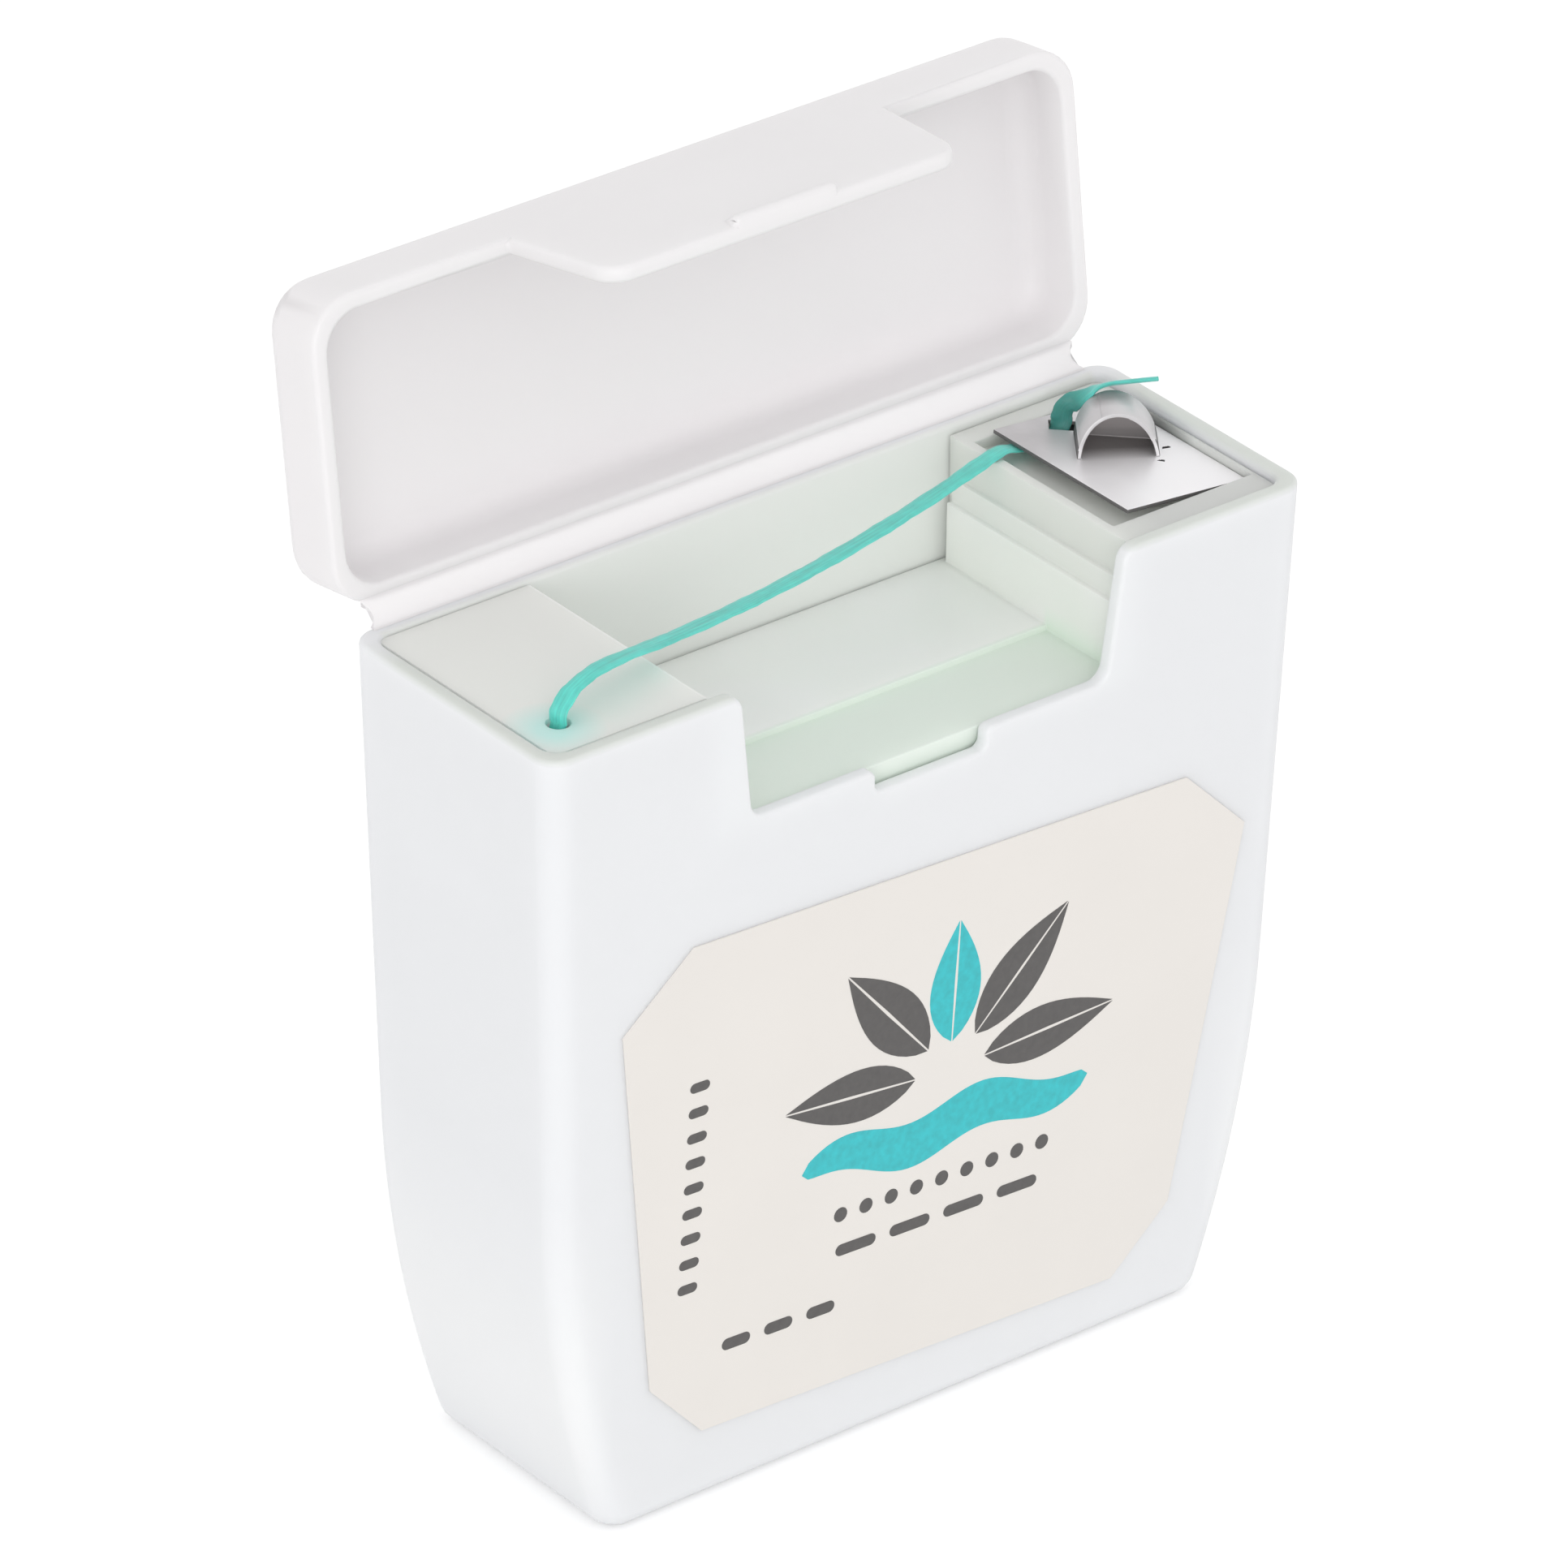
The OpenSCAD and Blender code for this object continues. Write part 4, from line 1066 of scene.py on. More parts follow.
class DISPENSER_OT_stage(Operator):
    """Sets the camera, the pale floor, the white surroundings and the lamps"""
    bl_idname = "dispenser.stage"
    bl_label = "Stage"

    def execute(self, context):
        stage = context.scene.dispenser.stage
        target = Vector((stage.aim_x, 0, stage.aim_z))
        back = Vector((math.sin(stage.azimuth) * math.cos(stage.elevation),
                       -math.cos(stage.azimuth) * math.cos(stage.elevation), math.sin(stage.elevation)))
        bpy.ops.object.camera_add()
        camera = context.object
        camera.name = "camera"
        camera.matrix_world = aim(target + back * stage.distance, target, stage.roll)
        camera.data.lens = stage.lens
        camera.data.sensor_width = SENSOR_WIDTH
        camera.data.clip_start, camera.data.clip_end = 0.01, 50
        context.scene.camera = camera

        bpy.ops.mesh.primitive_circle_add(vertices=ROUND_SIDES, radius=FLOOR_RADIUS, fill_type="NGON",
                                          location=(0, 0, -FLOOR_DROP))
        floor = context.object
        floor.name = "floor"
        finish_with(floor, self.floor_paint())
        self.surroundings(context.scene, stage.world_level)
        for name, place, size, level in LAMPS:
            self.lamp(name, place, size, getattr(stage, level))
        context.scene.view_settings.view_transform = "Standard"
        return {"FINISHED"}

    def lamp(self, name, place, size, power):
        """A square soft lamp that points at the object."""
        bpy.ops.object.light_add(type="AREA")
        lamp = bpy.context.object
        lamp.name = name
        lamp.matrix_world = aim(Vector(place), Vector(LIT_POINT))
        lamp.data.size = size
        lamp.data.energy = power

    def seen_rays(self, nodes, links):
        """One for rays from the camera, reflections and rays through clear pieces, and else zero."""
        rays = nodes.new("ShaderNodeLightPath").outputs
        total = rays["Is Camera Ray"]
        for name in ("Is Glossy Ray", "Is Transmission Ray"):
            node = nodes.new("ShaderNodeMath")
            node.operation = "MAXIMUM"
            links.new(total, node.inputs[0])
            links.new(rays[name], node.inputs[1])
            total = node.outputs[0]
        return total

    def floor_paint(self):
        """Matt white paint that reads as pure white where nothing shades it."""
        finish = Finish("floor_paint", Roughness=0.9, Specular_IOR_Level=0.1)
        clouds = finish.spread(finish.noise(6, 2))
        finish.feed(Base_Color=finish.between(clouds, (0.87, 0.87, 0.87), (0.88, 0.88, 0.88)))
        lift = finish.node("ShaderNodeEmission")
        finish.links.new(
            finish.product(self.seen_rays(finish.nodes, finish.links), 0.3), lift.inputs["Strength"])
        both = finish.node("ShaderNodeAddShader", {0: finish.shader.outputs[0], 1: lift.outputs[0]})
        finish.links.new(both.outputs[0], finish.nodes["Material Output"].inputs["Surface"])
        return finish.material

    def surroundings(self, scene, strength):
        """White surroundings that light softly and read as pure white."""
        world = bpy.data.worlds.new("surroundings")
        world.use_nodes = True
        scene.world = world
        nodes, links = world.node_tree.nodes, world.node_tree.links
        nodes["Background"].inputs["Color"].default_value = (1, 1, 1, 1)
        mix = nodes.new("ShaderNodeMix")
        links.new(self.seen_rays(nodes, links), mix.inputs[0])
        mix.inputs[2].default_value, mix.inputs[3].default_value = strength, 1
        links.new(mix.outputs[0], nodes["Background"].inputs["Strength"])


class DISPENSER_OT_floss(Operator):
    """Lays the floss: the free strand over the well and round the arch, and the feed inside the case"""
    bl_idname = "dispenser.floss"
    bl_label = "Floss"

    def execute(self, context):
        s = all_sizes(context)
        paint = waxed_floss(context.scene.dispenser.finishes.floss)
        fold = arch_mouth(s) + Vector(FOLD)
        for name, points in (("floss_strand", strand_route(s)), ("floss_feed", feed_route(s))):
            route = smooth_route(points)
            piece = ribbon(name + "_ribbon", route, s.floss.width, s.floss.thickness)
            settle(piece, name + "_ribbon", "case_body", name)
            finish_with(piece, paint)
            # Painted shade where the floss folds
            mark(piece, "fold", lambda _face, place: min(max(FOLD_SHADE_REACH - (place - fold).length, 0), 1))
        return {"FINISHED"}


class DISPENSER_OT_case(Operator):
    """Models the case: a thin tapered shell with the notch in its front wall and the insert's ledges"""
    bl_idname = "dispenser.case"
    bl_label = "Case"

    def execute(self, context):
        s = all_sizes(context)
        case = s.case
        piece = tapered_block("case_shell", case, 0, 0, case.height, case.corner, low_edge=case.base_edge)
        hollow(piece, tapered_block("case_inside", case, case.wall, case.floor, case.height,
                                    case.corner * 0.75, low_edge=case.corner / 2), case.height)
        combine(piece, self.notch(case))
        soften(piece, case.softness, 3)
        self.add_ledges(piece, s)
        settle(piece, "case_shell", "case_body", "case")
        finish_with(piece, case_plastic(s, context.scene.dispenser.finishes))
        return {"FINISHED"}

    def add_ledges(self, piece, s):
        """Adds the two ledges on which the insert stands."""
        case = s.case
        inner = half_width(case, s.at.skirt_z) - case.wall
        for side in (-1, 1):
            ends = sorted((side * (inner + case.wall / 2), side * (inner - case.ledge_reach)))
            low = (ends[0], -case.ledge_length / 2, s.at.skirt_z - case.ledge_height)
            high = (ends[1], case.ledge_length / 2, s.at.skirt_z)
            combine(piece, box("ledge", low, high), "UNION")

    def notch(self, case):
        """The block that is cut out of the front wall."""
        bottom = case.height - case.notch_depth
        flare = case.notch_top / 2 + case.notch_top_radius
        return prism("notch", rounded(with_mirror([
            (-flare, case.height + OVER, 0),
            (-flare, case.height, 0),
            (-case.notch_top / 2, case.height, case.notch_top_radius * 0.8),
            (-case.notch_bottom / 2, bottom, case.notch_bottom_radius),
            (-case.thumb_width / 2, bottom, case.thumb_radius),
            (-case.thumb_width / 2, bottom - case.thumb_depth, case.thumb_radius),
        ])), FROM_FRONT, case.depth)


class DISPENSER_OT_lid(Operator):
    """Models the lid: a shallow tray with its tongue and thumb lip, and the living hinge's web"""
    bl_idname = "dispenser.lid"
    bl_label = "Lid and living hinge"

    def execute(self, context):
        s = all_sizes(context)
        case, lid = s.case, s.lid
        low, high = s.at.hinge.z, case.height + lid.height
        piece = tapered_block("lid_shell", case, 0, low, high, lid.corner, high_edge=lid.edge)
        hollow(piece, tapered_block("lid_inside", case, lid.wall, low, high - lid.wall,
                                    lid.corner - lid.wall / 2, high_edge=lid.fillet), low)
        self.draw_tongue(piece, s)
        self.add_lip(piece, s)
        soften(piece, case.softness, 3)
        piece.matrix_world = self.opened(s)
        settle(piece, "lid_shell", "lid_body", "lid")
        closed = self.opened(s).inverted()

        # Painted shade in the lid's hollow, growing from its rim and towards its front
        def hollow_shade(_face, place):
            here = closed @ place
            inside = (abs(here.x) < case.width / 2 - lid.wall / 2 and abs(here.y) < case.depth / 2 - lid.wall / 2
                      and low - TOUCH < here.z < high - lid.wall / 2)
            return inside * min((here.z - low) / lid.fillet, 1) * (0.5 - here.y / case.depth)

        mark(piece, "hollow", hollow_shade)
        finishes = context.scene.dispenser.finishes
        finish_with(piece, lid_plastic(finishes))
        # Painted light: the web gets a paler copy of the lid's plastic
        web_painted_light = shade(finishes.lid, 1.16)
        finish_with(self.add_web(s), moulded_plastic("hinge_plastic", web_painted_light, glow=0.25, depth=0.001))
        return {"FINISHED"}

    def opened(self, s):
        """The move from the closed lid's place to the open lid's place."""
        there = Matrix.Translation(s.at.hinge)
        return there @ Matrix.Rotation(-s.lid.open_angle, 4, "X") @ there.inverted()

    def draw_tongue(self, piece, s):
        """Draws the tongue down out of the front skirt's edge."""
        case, lid = s.case, s.lid
        root = case.notch_top / 2 - lid.tongue_gap
        tip = case.notch_bottom / 2 - lid.tongue_gap
        low = s.at.hinge.z
        end = case.height - case.notch_depth + lid.tongue_gap
        middle = case.wall / 2 - case.depth / 2
        with editing(piece):
            for x in (-root, root):
                bpy.ops.mesh.select_all(action="SELECT")
                bpy.ops.mesh.bisect(plane_co=(x, 0, 0), plane_no=(1, 0, 0), threshold=TOUCH / 10)
            choose(piece, "faces", lambda f: f.normal.z < -0.9 and abs(f.calc_center_median().z - low) < TOUCH
                   and f.calc_center_median().y < lid.wall - case.depth / 2
                   and abs(f.calc_center_median().x) < root - TOUCH)
            lean = half_depth(case, low) - half_depth(case, end)
            bpy.ops.mesh.extrude_region_move(TRANSFORM_OT_translate={"value": (0, lean, end - low)})
            bpy.ops.transform.resize(value=(tip / root, 1, 1), center_override=(0, middle, end))
            choose(piece, "edges", lambda e: level(e, end)
                   and abs(abs(e.verts[0].co.x + e.verts[1].co.x) / 2 - tip) < TOUCH)
            bpy.ops.mesh.bevel(offset=lid.tongue_radius, segments=CORNER_STEPS, affect="EDGES")

    def add_lip(self, piece, s):
        """Adds the lip for a fingernail on the tongue's outer face."""
        case, lid = s.case, s.lid
        end = case.height - case.notch_depth + lid.tongue_gap
        face = -half_depth(case, end)
        inner, outer = face + lid.wall / 2, face - lid.lip_out
        outline = [(inner, end), (outer, end), (outer, end + lid.lip_height / 2), (inner, end + 2 * lid.lip_height)]
        place = Matrix.Translation((-lid.lip_width / 2, 0, 0)) @ FROM_SIDE
        combine(piece, prism("lip", outline, place, lid.lip_width), "UNION")

    def add_web(self, s):
        """Models the thin web between case and lid, with its rolled feet."""
        case, lid = s.case, s.lid
        outer, inner = Vector((0, case.depth / 2, 0)), Vector((0, case.depth / 2 - lid.web_foot, 0))
        low, high = Vector((0, 0, case.height)), Vector((0, 0, s.at.hinge.z))
        half = case.width / 2 - lid.web_inset
        bend = Vector((0, 0.7, -0.7)) * lid.web_foot / 2
        above, below = [], []
        for step in range(WEB_STEPS + 1):
            share = step / WEB_STEPS
            bow = bend * math.sin(math.pi * share)
            above.append((inner + low).lerp(self.opened(s) @ (inner + high), share) + bow)
            below.append((outer + low).lerp(self.opened(s) @ (outer + high), share) + bow / 3)
        outline = [(p.y, p.z) for p in [*above, *reversed(below)]]
        piece = prism("living_hinge_web", outline, Matrix.Translation((-half, 0, 0)) @ FROM_SIDE, 2 * half)
        with editing(piece):
            for step in range(1, WEB_STEPS):
                pair = above[step], below[step]
                choose(piece, "verts", lambda v: any((v.co.yz - p.yz).length < TOUCH for p in pair))
                waist = half - lid.web_waist * math.sin(math.pi * step / WEB_STEPS)
                bpy.ops.transform.resize(value=(waist / half, 1, 1), center_override=(0, 0, 0))
        soften(piece, lid.web_foot / 8)
        settle(piece, "living_hinge_web", None, "living_hinge")
        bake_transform(piece)
        return piece


# How far the cutter's seat runs into the tray's walls, in millimetres
SEAT_INTO = 0.15


class DISPENSER_OT_insert(Operator):
    """Models the insert: platform with the outlet, well, tower with the cutter's tray, and the spindle's leg"""
    bl_idname = "dispenser.insert"
    bl_label = "Insert"

    def execute(self, context):
        s = all_sizes(context)
        insert, at, case = s.insert, s.at, s.case
        top, far = case.height + OVER, case.width
        piece = tapered_block("insert_body", case, at.inset, at.skirt_z, at.platform_z, case.corner / 4)
        side = half_width(case, at.skirt_z) - at.inset - insert.wall
        face = half_depth(case, at.skirt_z) - at.inset - insert.wall
        under, ceiling = at.skirt_z - OVER, at.well_z - insert.step - insert.wall
        for low, high in (
            ((at.well_left, -far, at.well_z), (at.well_right, far, top)),
            ((at.well_left, -far, at.well_z - insert.step), (at.well_right, at.front_step, top)),
            ((at.well_right - OVER, -far, at.tower_z), (far, far, top)),
            ((at.well_right + insert.tray_left_rim, insert.tray_front_rim - at.half_depth, at.tray_z),
             (at.half_width - insert.tray_rim, at.half_depth - insert.tray_back_rim, top)),
            ((-side, -face, under), (at.well_left - insert.wall, face, at.platform_z - insert.wall)),
            ((at.well_right + insert.wall, -face, under), (side, face, at.tray_z - insert.wall)),
            ((at.well_left - 2 * insert.wall, -face, under), (at.well_right + 2 * insert.wall, face, ceiling)),
        ):
            combine(piece, box("cut", low, high))
        self.add_shelves(piece, s)
        self.add_spindle(piece, s, ceiling)
        mouth = outlet_mouth(s)
        combine(piece, rod("outlet", insert.outlet, mouth - Vector((0, 0, insert.wall + OVER)),
                           mouth + Vector((0, 0, OVER)), OUTLET_SIDES))
        soften(piece, insert.softness)
        self.add_seat(piece, s)
        with editing(piece):
            # The seat leaves a hairline in the tray's corner, which is closed
            choose(piece, "edges", lambda e: e.is_boundary)
            bpy.ops.mesh.remove_doubles(threshold=1.2 * insert.softness)
        settle(piece, "insert_body", "case_body", "insert")
        finish_with(piece, insert_plastic(s, context.scene.dispenser.finishes))
        return {"FINISHED"}

    def add_shelves(self, piece, s):
        """Adds the two shelves on the tower's wall."""
        insert, at = s.insert, s.at
        for shelf in (1, 2):
            low = (at.well_right - shelf * insert.shelf_out, OVER - at.half_depth, at.well_z - insert.wall / 2)
            high = (at.well_right + insert.wall / 2, at.half_depth - OVER,
                    s.case.height - insert.shelf_drop * (1 + shelf) / 2)
            combine(piece, box("shelf", low, high), "UNION")

    def add_seat(self, piece, s):
        """Adds the wedge under the cutter's plate, which runs on into the tray's walls."""
        insert, at, cutter = s.insert, s.at, s.cutter
        rise, into = math.tan(cutter.tilt), SEAT_INTO
        place = Matrix.Translation((at.plate_right, at.plate_back + into, at.tray_z)) @ FROM_FRONT
        outline = [(into, -insert.wall / 2), (into, -into * rise), (-cutter.seat_width, cutter.seat_width * rise),
                   (-cutter.seat_width, -insert.wall / 2)]
        seat = prism("seat", outline, place, cutter.depth + into)
        soften(seat, insert.softness)
        combine(piece, seat, "UNION")

    def add_spindle(self, piece, s, ceiling):
        """Adds the rib, the hanging leg, its boss and the spindle."""
        insert, at, bobbin = s.insert, s.at, s.bobbin
        centre = at.spindle
        left, right = centre.x - insert.leg_width / 2, centre.x + insert.leg_width / 2
        root = ceiling + insert.wall / 2
        reach = at.leg_front - 2 * bobbin.play - bobbin.width
        for part in (
            box("leg", (left, at.leg_front, centre.z), (right, at.leg_back, root)),
            box("rib", (left, at.front_step, ceiling - insert.rib), (right, at.leg_back, root)),
            rod("boss", insert.boss, (centre.x, at.leg_front, centre.z), (centre.x, at.leg_back, centre.z)),
            rod("spindle", insert.spindle, (centre.x, reach, centre.z), (centre.x, at.leg_back, centre.z)),
        ):
            combine(piece, part, "UNION")


# Plans of two nicks in the plate by the arch's right foot: right of the foot's outer edge, and behind the mouth
NICKS = (
    ((0.12, 1.3), (0.5, 1.5), (0.45, 1.66), (0.12, 1.5)),
    ((-0.2, 0.02), (0.12, -0.04), (0.16, 0.14), (-0.05, 0.16)),
)
# Height above the tray, in millimetres, under which upright faces of the sheet are cut edges
CUT_EDGES_UNDER = 1.2
# Area of a face, in square millimetres, from which it is shaded flat
FLAT_FROM = 2


class DISPENSER_OT_cutter(Operator):
    """Models the cutter: a sheet steel plate with its slit, two nicks and the raised arch, which has a back wall"""
    bl_idname = "dispenser.cutter"
    bl_label = "Cutter plate"

    def execute(self, context):
        s = all_sizes(context)
        cutter, at = s.cutter, s.at
        piece = box("cutter_sheet", (-cutter.width, 0, 0), (0, cutter.depth, cutter.sheet))
        mouth = (Matrix.Translation((-cutter.arch_from_right, cutter.arch_from_front, 0))
                 @ Matrix.Rotation(-cutter.arch_turn, 4, "Z"))
        half, back = cutter.arch_width / 2, cutter.arch_length
        under = mouth @ Matrix.Translation((0, 0, -OVER))
        left, right, slit_back = -half - cutter.slit_reach, half - cutter.sheet, back + cutter.slit_width
        slit = [(left, back), (right, back), (right, slit_back), (left, slit_back)]
        for plan in (slit, *([(half + x, y) for x, y in nick] for nick in NICKS)):
            combine(piece, prism("hole", plan, under, 2 * OVER))
        outer, inner = self.arch_line(cutter, 0), self.arch_line(cutter, cutter.sheet)
        arch = prism("arch", [*outer, *reversed(inner)], mouth @ Matrix.Translation((0, back, 0)) @ FROM_FRONT,
                     back + cutter.arch_width)
        # The arch ends a little before the slit, so that its softened foot stays on the plate
        end = back - 0.75 * cutter.sheet
        wall = prism("wall", outer, mouth @ Matrix.Translation((0, end, 0)) @ FROM_FRONT, cutter.sheet)
        combine(arch, wall, "UNION")
        kept = prism("kept", self.behind_mouth(cutter, cutter.arch_width, end), under,
                     cutter.arch_height + 2 * OVER)
        combine(arch, kept, "INTERSECT")
        combine(piece, arch, "UNION")
        soften(piece, cutter.sheet / 6)
        piece.matrix_world = (Matrix.Translation((at.plate_right, at.plate_front, at.tray_z))
                              @ Matrix.Rotation(cutter.tilt, 4, "Y"))
        settle(piece, "cutter_sheet", "case_body", "cutter_plate", weighted=False)
        self.mark_sheet(piece, s)
        finish_with(piece, sheet_steel(s, context.scene.dispenser.finishes))
        return {"FINISHED"}

    def mark_sheet(self, piece, s):
        """Marks the faces under the arch and the sheet's cut edges, which get painted shade, and shades the flat of
        the sheet flat.
        """
        cutter, middle = s.cutter, arch_mouth(s)
        along = heading(cutter.arch_turn).xy
        up = Vector((math.sin(cutter.tilt), 0, math.cos(cutter.tilt)))

        # Painted shade inside the arch
        def inside_arch(face, _place):
            here = face.center / MM - middle
            off = here.xy - here.xy.dot(along) * along
            inward = Vector((-off.x, -off.y, -here.z))
            shell = here.z > 1 and face.normal.dot(inward) > 0.3 * inward.length
            wall = here.xy.dot(along) > cutter.arch_length / 2 and face.normal.xy.dot(along) < -0.9
            return off.length < cutter.arch_width / 2 - cutter.sheet / 2 and (shell or wall)

        # The cut edges' darker fracture, with painted shade on it
        def cut_edge(face, _place):
            return abs(face.normal.dot(up)) < 0.4 and face.center.z / MM < s.at.tray_z + CUT_EDGES_UNDER

        mark(piece, "inside_arch", inside_arch)
        mark(piece, "cut_edge", cut_edge)
        for face in piece.data.polygons:
            face.use_smooth = face.area / MM ** 2 < FLAT_FROM

    def behind_mouth(self, cutter, half, back):
        """Plan of a stretch behind the arch's mouth, which is cut askew."""
        askew = half * math.tan(cutter.arch_skew)
        return [(-half, -askew), (half, askew), (half, back), (-half, back)]

    def arch_line(self, cutter, inset):
        """A line of the arch's section, a leaning half oval, moved in from its outer line."""
        return [
            ((cutter.arch_width / 2 - inset) * math.cos(t) - cutter.arch_lean * math.sin(t),
             (cutter.arch_height + cutter.sheet - inset) * math.sin(t))
            for t in (math.pi * step / ARCH_STEPS for step in range(ARCH_STEPS + 1))
        ]


# Points to one turn of the wound floss, the depth of the groove between two turns in millimetres, and the share of
# the winding's half width past which it slopes down to the flanges, with that slope
TURN_POINTS = 6
TURN_GROOVE = 0.1
SLOPE_PAST, SLOPE = 0.9, 1.2


class DISPENSER_OT_bobbin(Operator):
    """Models the bobbin: its flanged core and the floss wound on it"""
    bl_idname = "dispenser.bobbin"
    bl_label = "Bobbin"

    def execute(self, context):
        s = all_sizes(context)
        bobbin, centre = s.bobbin, s.at.spindle
        finishes = context.scene.dispenser.finishes
        bore = s.insert.spindle / 2 + bobbin.clearance
        front, back = centre.y - bobbin.width / 2, centre.y + bobbin.width / 2
        low, high = front + bobbin.flange_wall, back - bobbin.flange_wall
        core = lathe("bobbin_reel", [
            (bore, front), (bobbin.flange / 2, front), (bobbin.flange / 2, low), (bobbin.hub / 2, low),
            (bobbin.hub / 2, high), (bobbin.flange / 2, high), (bobbin.flange / 2, back), (bore, back)], centre)
        soften(core, bobbin.flange_wall / 8)
        settle(core, "bobbin_reel", "bobbin_body", "bobbin_core")
        finish_with(core, moulded_plastic("bobbin_plastic", finishes.bobbin, roughness=0.3, glow=0.3))

        turns = round((high - low) / bobbin.turn_width)
        steps = TURN_POINTS * turns
        outer = []
        for step in range(steps + 1):
            bulge = abs(math.sin(math.pi * turns * step / steps)) ** 0.5
            end = 1 - max(abs(2 * step / steps - 1) - SLOPE_PAST, 0) * SLOPE
            outer.append((bobbin.winding / 2 * end - TURN_GROOVE * (1 - bulge), low + (high - low) * step / steps))
        winding = lathe("floss_turns", [(bobbin.hub / 2, low), *outer, (bobbin.hub / 2, high)], centre)
        settle(winding, "floss_turns", "bobbin_body", "floss_winding")
        finish_with(winding, wound_floss(finishes.floss))
        return {"FINISHED"}


# Printed shapes, in millimetres from the label's middle. Leaves: direction in degrees, length and breadth
SPRIG = ((4, 7.4, 2.7), (47, 7.2, 2.9), (133, 7.2, 2.9), (176, 7.4, 2.7))
# The point that these leaves spring from, and how far from it they start
SPRIG_MIDDLE, SPRIG_GAP = Vector((1.2, 1.7)), 2
# The middle leaf: X and Y of its stalk, length, breadth and direction
MIDDLE_LEAF = (1.2, 3.2, 6.2, 2.9, 90)
LEAF_VEIN = 0.16
# Rows and a column of bars: X and Y of the first, X and Y from each to the next, how many, width and height
BARS = (
    (-4.6, -3.9, 1.45, 0, 9, 0.75, 0.75),
    (-3.6, -5.8, 3.1, 0, 4, 2.3, 0.6),
    (-10.2, -8.6, 2.4, 0, 3, 1.6, 0.6),
    (-13.2, -4.9, 0, 1.3, 9, 1.1, 0.5),
)
# The wave: X of its left end, its length, Y of its middle line, how far that line swings, by how much half of its
# breadth grows towards the middle, and half of its breadth at its ends
WAVE_LEFT, WAVE_LENGTH, WAVE_MIDDLE, WAVE_SWING, WAVE_HALF, WAVE_TIP = -7, 16.4, -1.1, 0.45, 1.2, 0.02


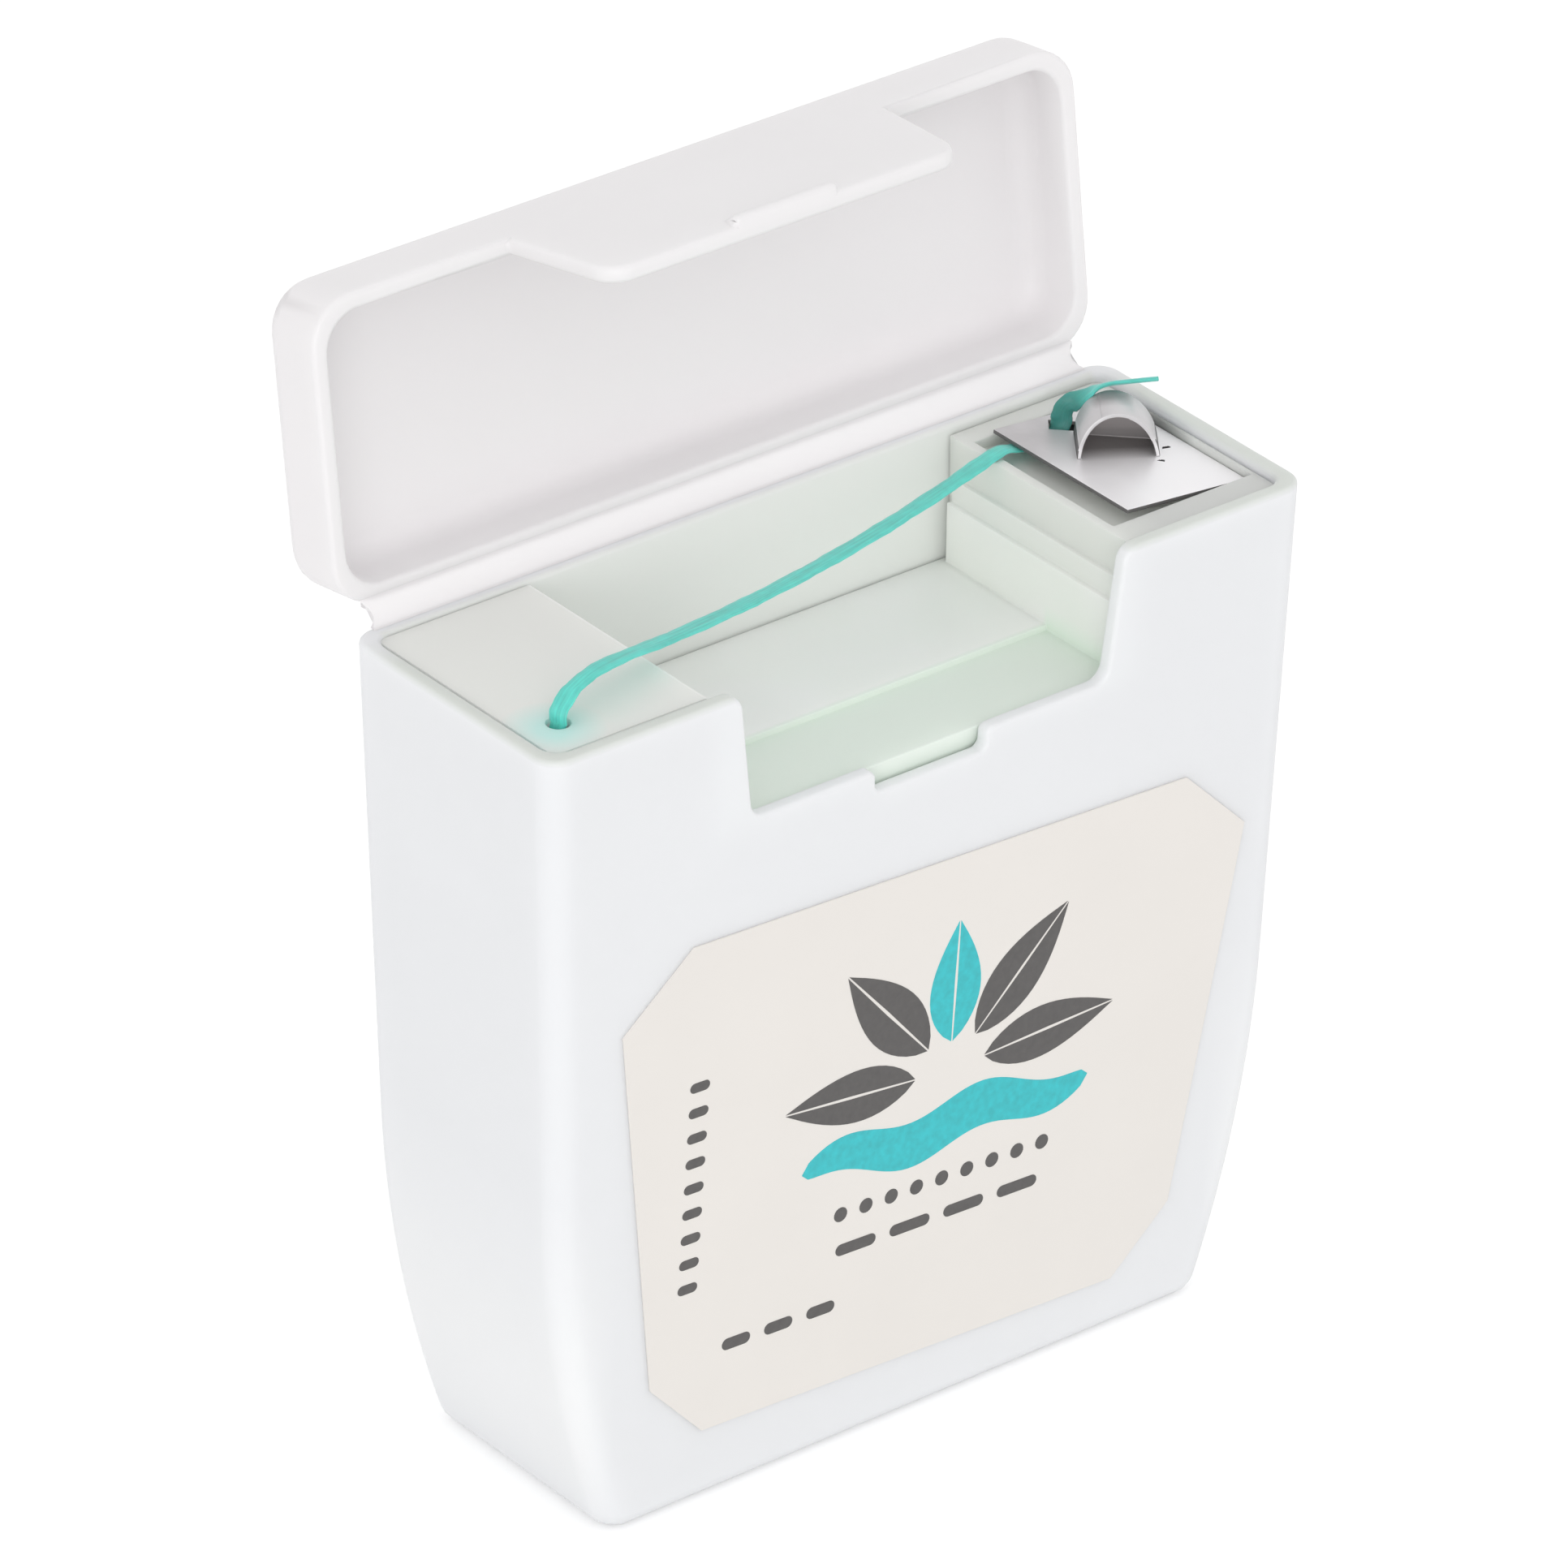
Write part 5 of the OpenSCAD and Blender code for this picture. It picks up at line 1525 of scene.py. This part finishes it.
class DISPENSER_OT_label(Operator):
    """Models the label: the eight-cornered sticker and the plain shapes printed on it"""
    bl_idname = "dispenser.label"
    bl_label = "Front label"

    def execute(self, context):
        s = all_sizes(context)
        case, label = s.case, s.label
        finishes = context.scene.dispenser.finishes
        high, low = label.height / 2, -label.height / 2
        upper = half_width(case, label.middle + high - label.cut_height) - case.corner - label.margin
        lower = half_width(case, label.middle + low + label.low_cut_height) - case.corner - label.low_margin
        outline = with_mirror([(label.cut_width - upper, high), (-upper, high - label.cut_height),
                               (-lower, low + label.low_cut_height), (label.low_cut_width - lower, low)])
        lean = math.atan(case.front_lean / case.height)
        place = (Matrix.Translation((label.shift, -half_depth(case, label.middle), label.middle))
                 @ Matrix.Rotation(math.radians(90) + lean, 4, "X") @ Matrix.Rotation(-label.crooked, 4, "Z"))
        sticker = prism("label_sticker", outline, place, label.paper)
        soften(sticker, label.paper / 4)
        settle(sticker, "label_sticker", "case_body", "front_label")
        finish_with(sticker, label_stock(finishes.paper))
        on_paper = place @ Matrix.Translation((0, 0, label.paper))
        for name, shapes, ink in (("label_leaves", self.dark_shapes(), "dark_ink"),
                                  ("label_wave", self.bright_shapes(), "bright_ink")):
            self.printed(name, shapes, on_paper, label.ink, printing_ink(ink, getattr(finishes, ink)))
        return {"FINISHED"}

    def printed(self, name, shapes, place, ink, paint):
        """One printed layer of several flat shapes."""
        parts = [prism(name, shape, place, ink) for shape in shapes]
        only(parts[0])
        for part in parts:
            part.select_set(True)
        bpy.ops.object.join()
        piece = bpy.context.object
        settle(piece, name, "case_body")
        finish_with(piece, paint)

    def leaf(self, x, y, reach, breadth, degrees):
        """The two halves of a pointed leaf whose stalk is at a point."""
        along = Matrix.Rotation(math.radians(degrees), 2) @ Vector((1, 0))
        across = along.orthogonal()
        slit, tip = LEAF_VEIN / 2, LEAF_VEIN / 4
        edge = [(t, max(breadth / 2 * math.sin(math.pi * t ** 0.8) ** 0.9, slit))
                for t in (step / LEAF_STEPS for step in range(1, LEAF_STEPS))]
        line = [(0.0, tip), *edge, (1.0, tip), (0.5, slit)]
        return [[Vector((x, y)) + along * reach * t + across * side * w for t, w in line] for side in (-1, 1)]

    def bar(self, x, y, width, height):
        """A bar with round ends."""
        r = height / 2
        return [
            (centre + r * math.cos(angle), y + r * math.sin(angle))
            for centre, start in ((x + width / 2 - r, -math.pi / 2), (x - width / 2 + r, math.pi / 2))
            for angle in (start + math.pi * step / BAR_STEPS for step in range(BAR_STEPS + 1))
        ]

    def dark_shapes(self):
        """The sprig of leaves, a row of dots, and rows and a column of dashes."""
        shapes = []
        for degrees, reach, breadth in SPRIG:
            stalk = SPRIG_MIDDLE + Matrix.Rotation(math.radians(degrees), 2) @ Vector((SPRIG_GAP, 0))
            shapes += self.leaf(*stalk, reach, breadth, degrees)
        for x, y, right, up, count, width, height in BARS:
            shapes += [self.bar(x + right * k, y + up * k, width, height) for k in range(count)]
        return shapes

    def bright_shapes(self):
        """The middle leaf and the wave under the sprig."""
        upper, lower = [], []
        for step in range(WAVE_STEPS + 1):
            share = step / WAVE_STEPS
            x = WAVE_LEFT + WAVE_LENGTH * share
            middle = WAVE_MIDDLE + WAVE_SWING * math.sin(2 * math.tau * share)
            half = WAVE_HALF * math.sin(math.pi * share) ** 0.4 + WAVE_TIP
            upper.append((x, middle + half))
            lower.append((x, middle - half))
        return [*self.leaf(*MIDDLE_LEAF), [*upper, *reversed(lower)]]


class DISPENSER_PT_panel(Panel):
    """Lists the steps that build the dispenser"""
    bl_label = "Dispenser"
    bl_idname = "DISPENSER_PT_panel"
    bl_space_type = "VIEW_3D"
    bl_region_type = "UI"
    bl_category = "Dispenser"

    def draw(self, context):
        for step in STEPS:
            self.layout.operator(step.bl_idname)


STEPS = (DISPENSER_OT_stage, DISPENSER_OT_floss, DISPENSER_OT_case, DISPENSER_OT_lid, DISPENSER_OT_insert,
         DISPENSER_OT_cutter, DISPENSER_OT_bobbin, DISPENSER_OT_label)
CLASSES = (CaseSizes, LidSizes, InsertSizes, BobbinSizes, CutterSizes, FlossSizes, LabelSizes, Finishes, StageSizes,
           DispenserSettings, *STEPS, DISPENSER_PT_panel)


def register():
    for cls in CLASSES:
        bpy.utils.register_class(cls)
    bpy.types.Scene.dispenser = PointerProperty(type=DispenserSettings)


def unregister():
    del bpy.types.Scene.dispenser
    for cls in reversed(CLASSES):
        bpy.utils.unregister_class(cls)


def main():
    """Builds everything."""
    register()
    bpy.ops.dispenser.stage()
    bpy.ops.dispenser.floss()
    bpy.ops.dispenser.case()
    bpy.ops.dispenser.lid()
    bpy.ops.dispenser.insert()
    bpy.ops.dispenser.cutter()
    bpy.ops.dispenser.bobbin()
    bpy.ops.dispenser.label()


if __name__ == "__main__":
    main()
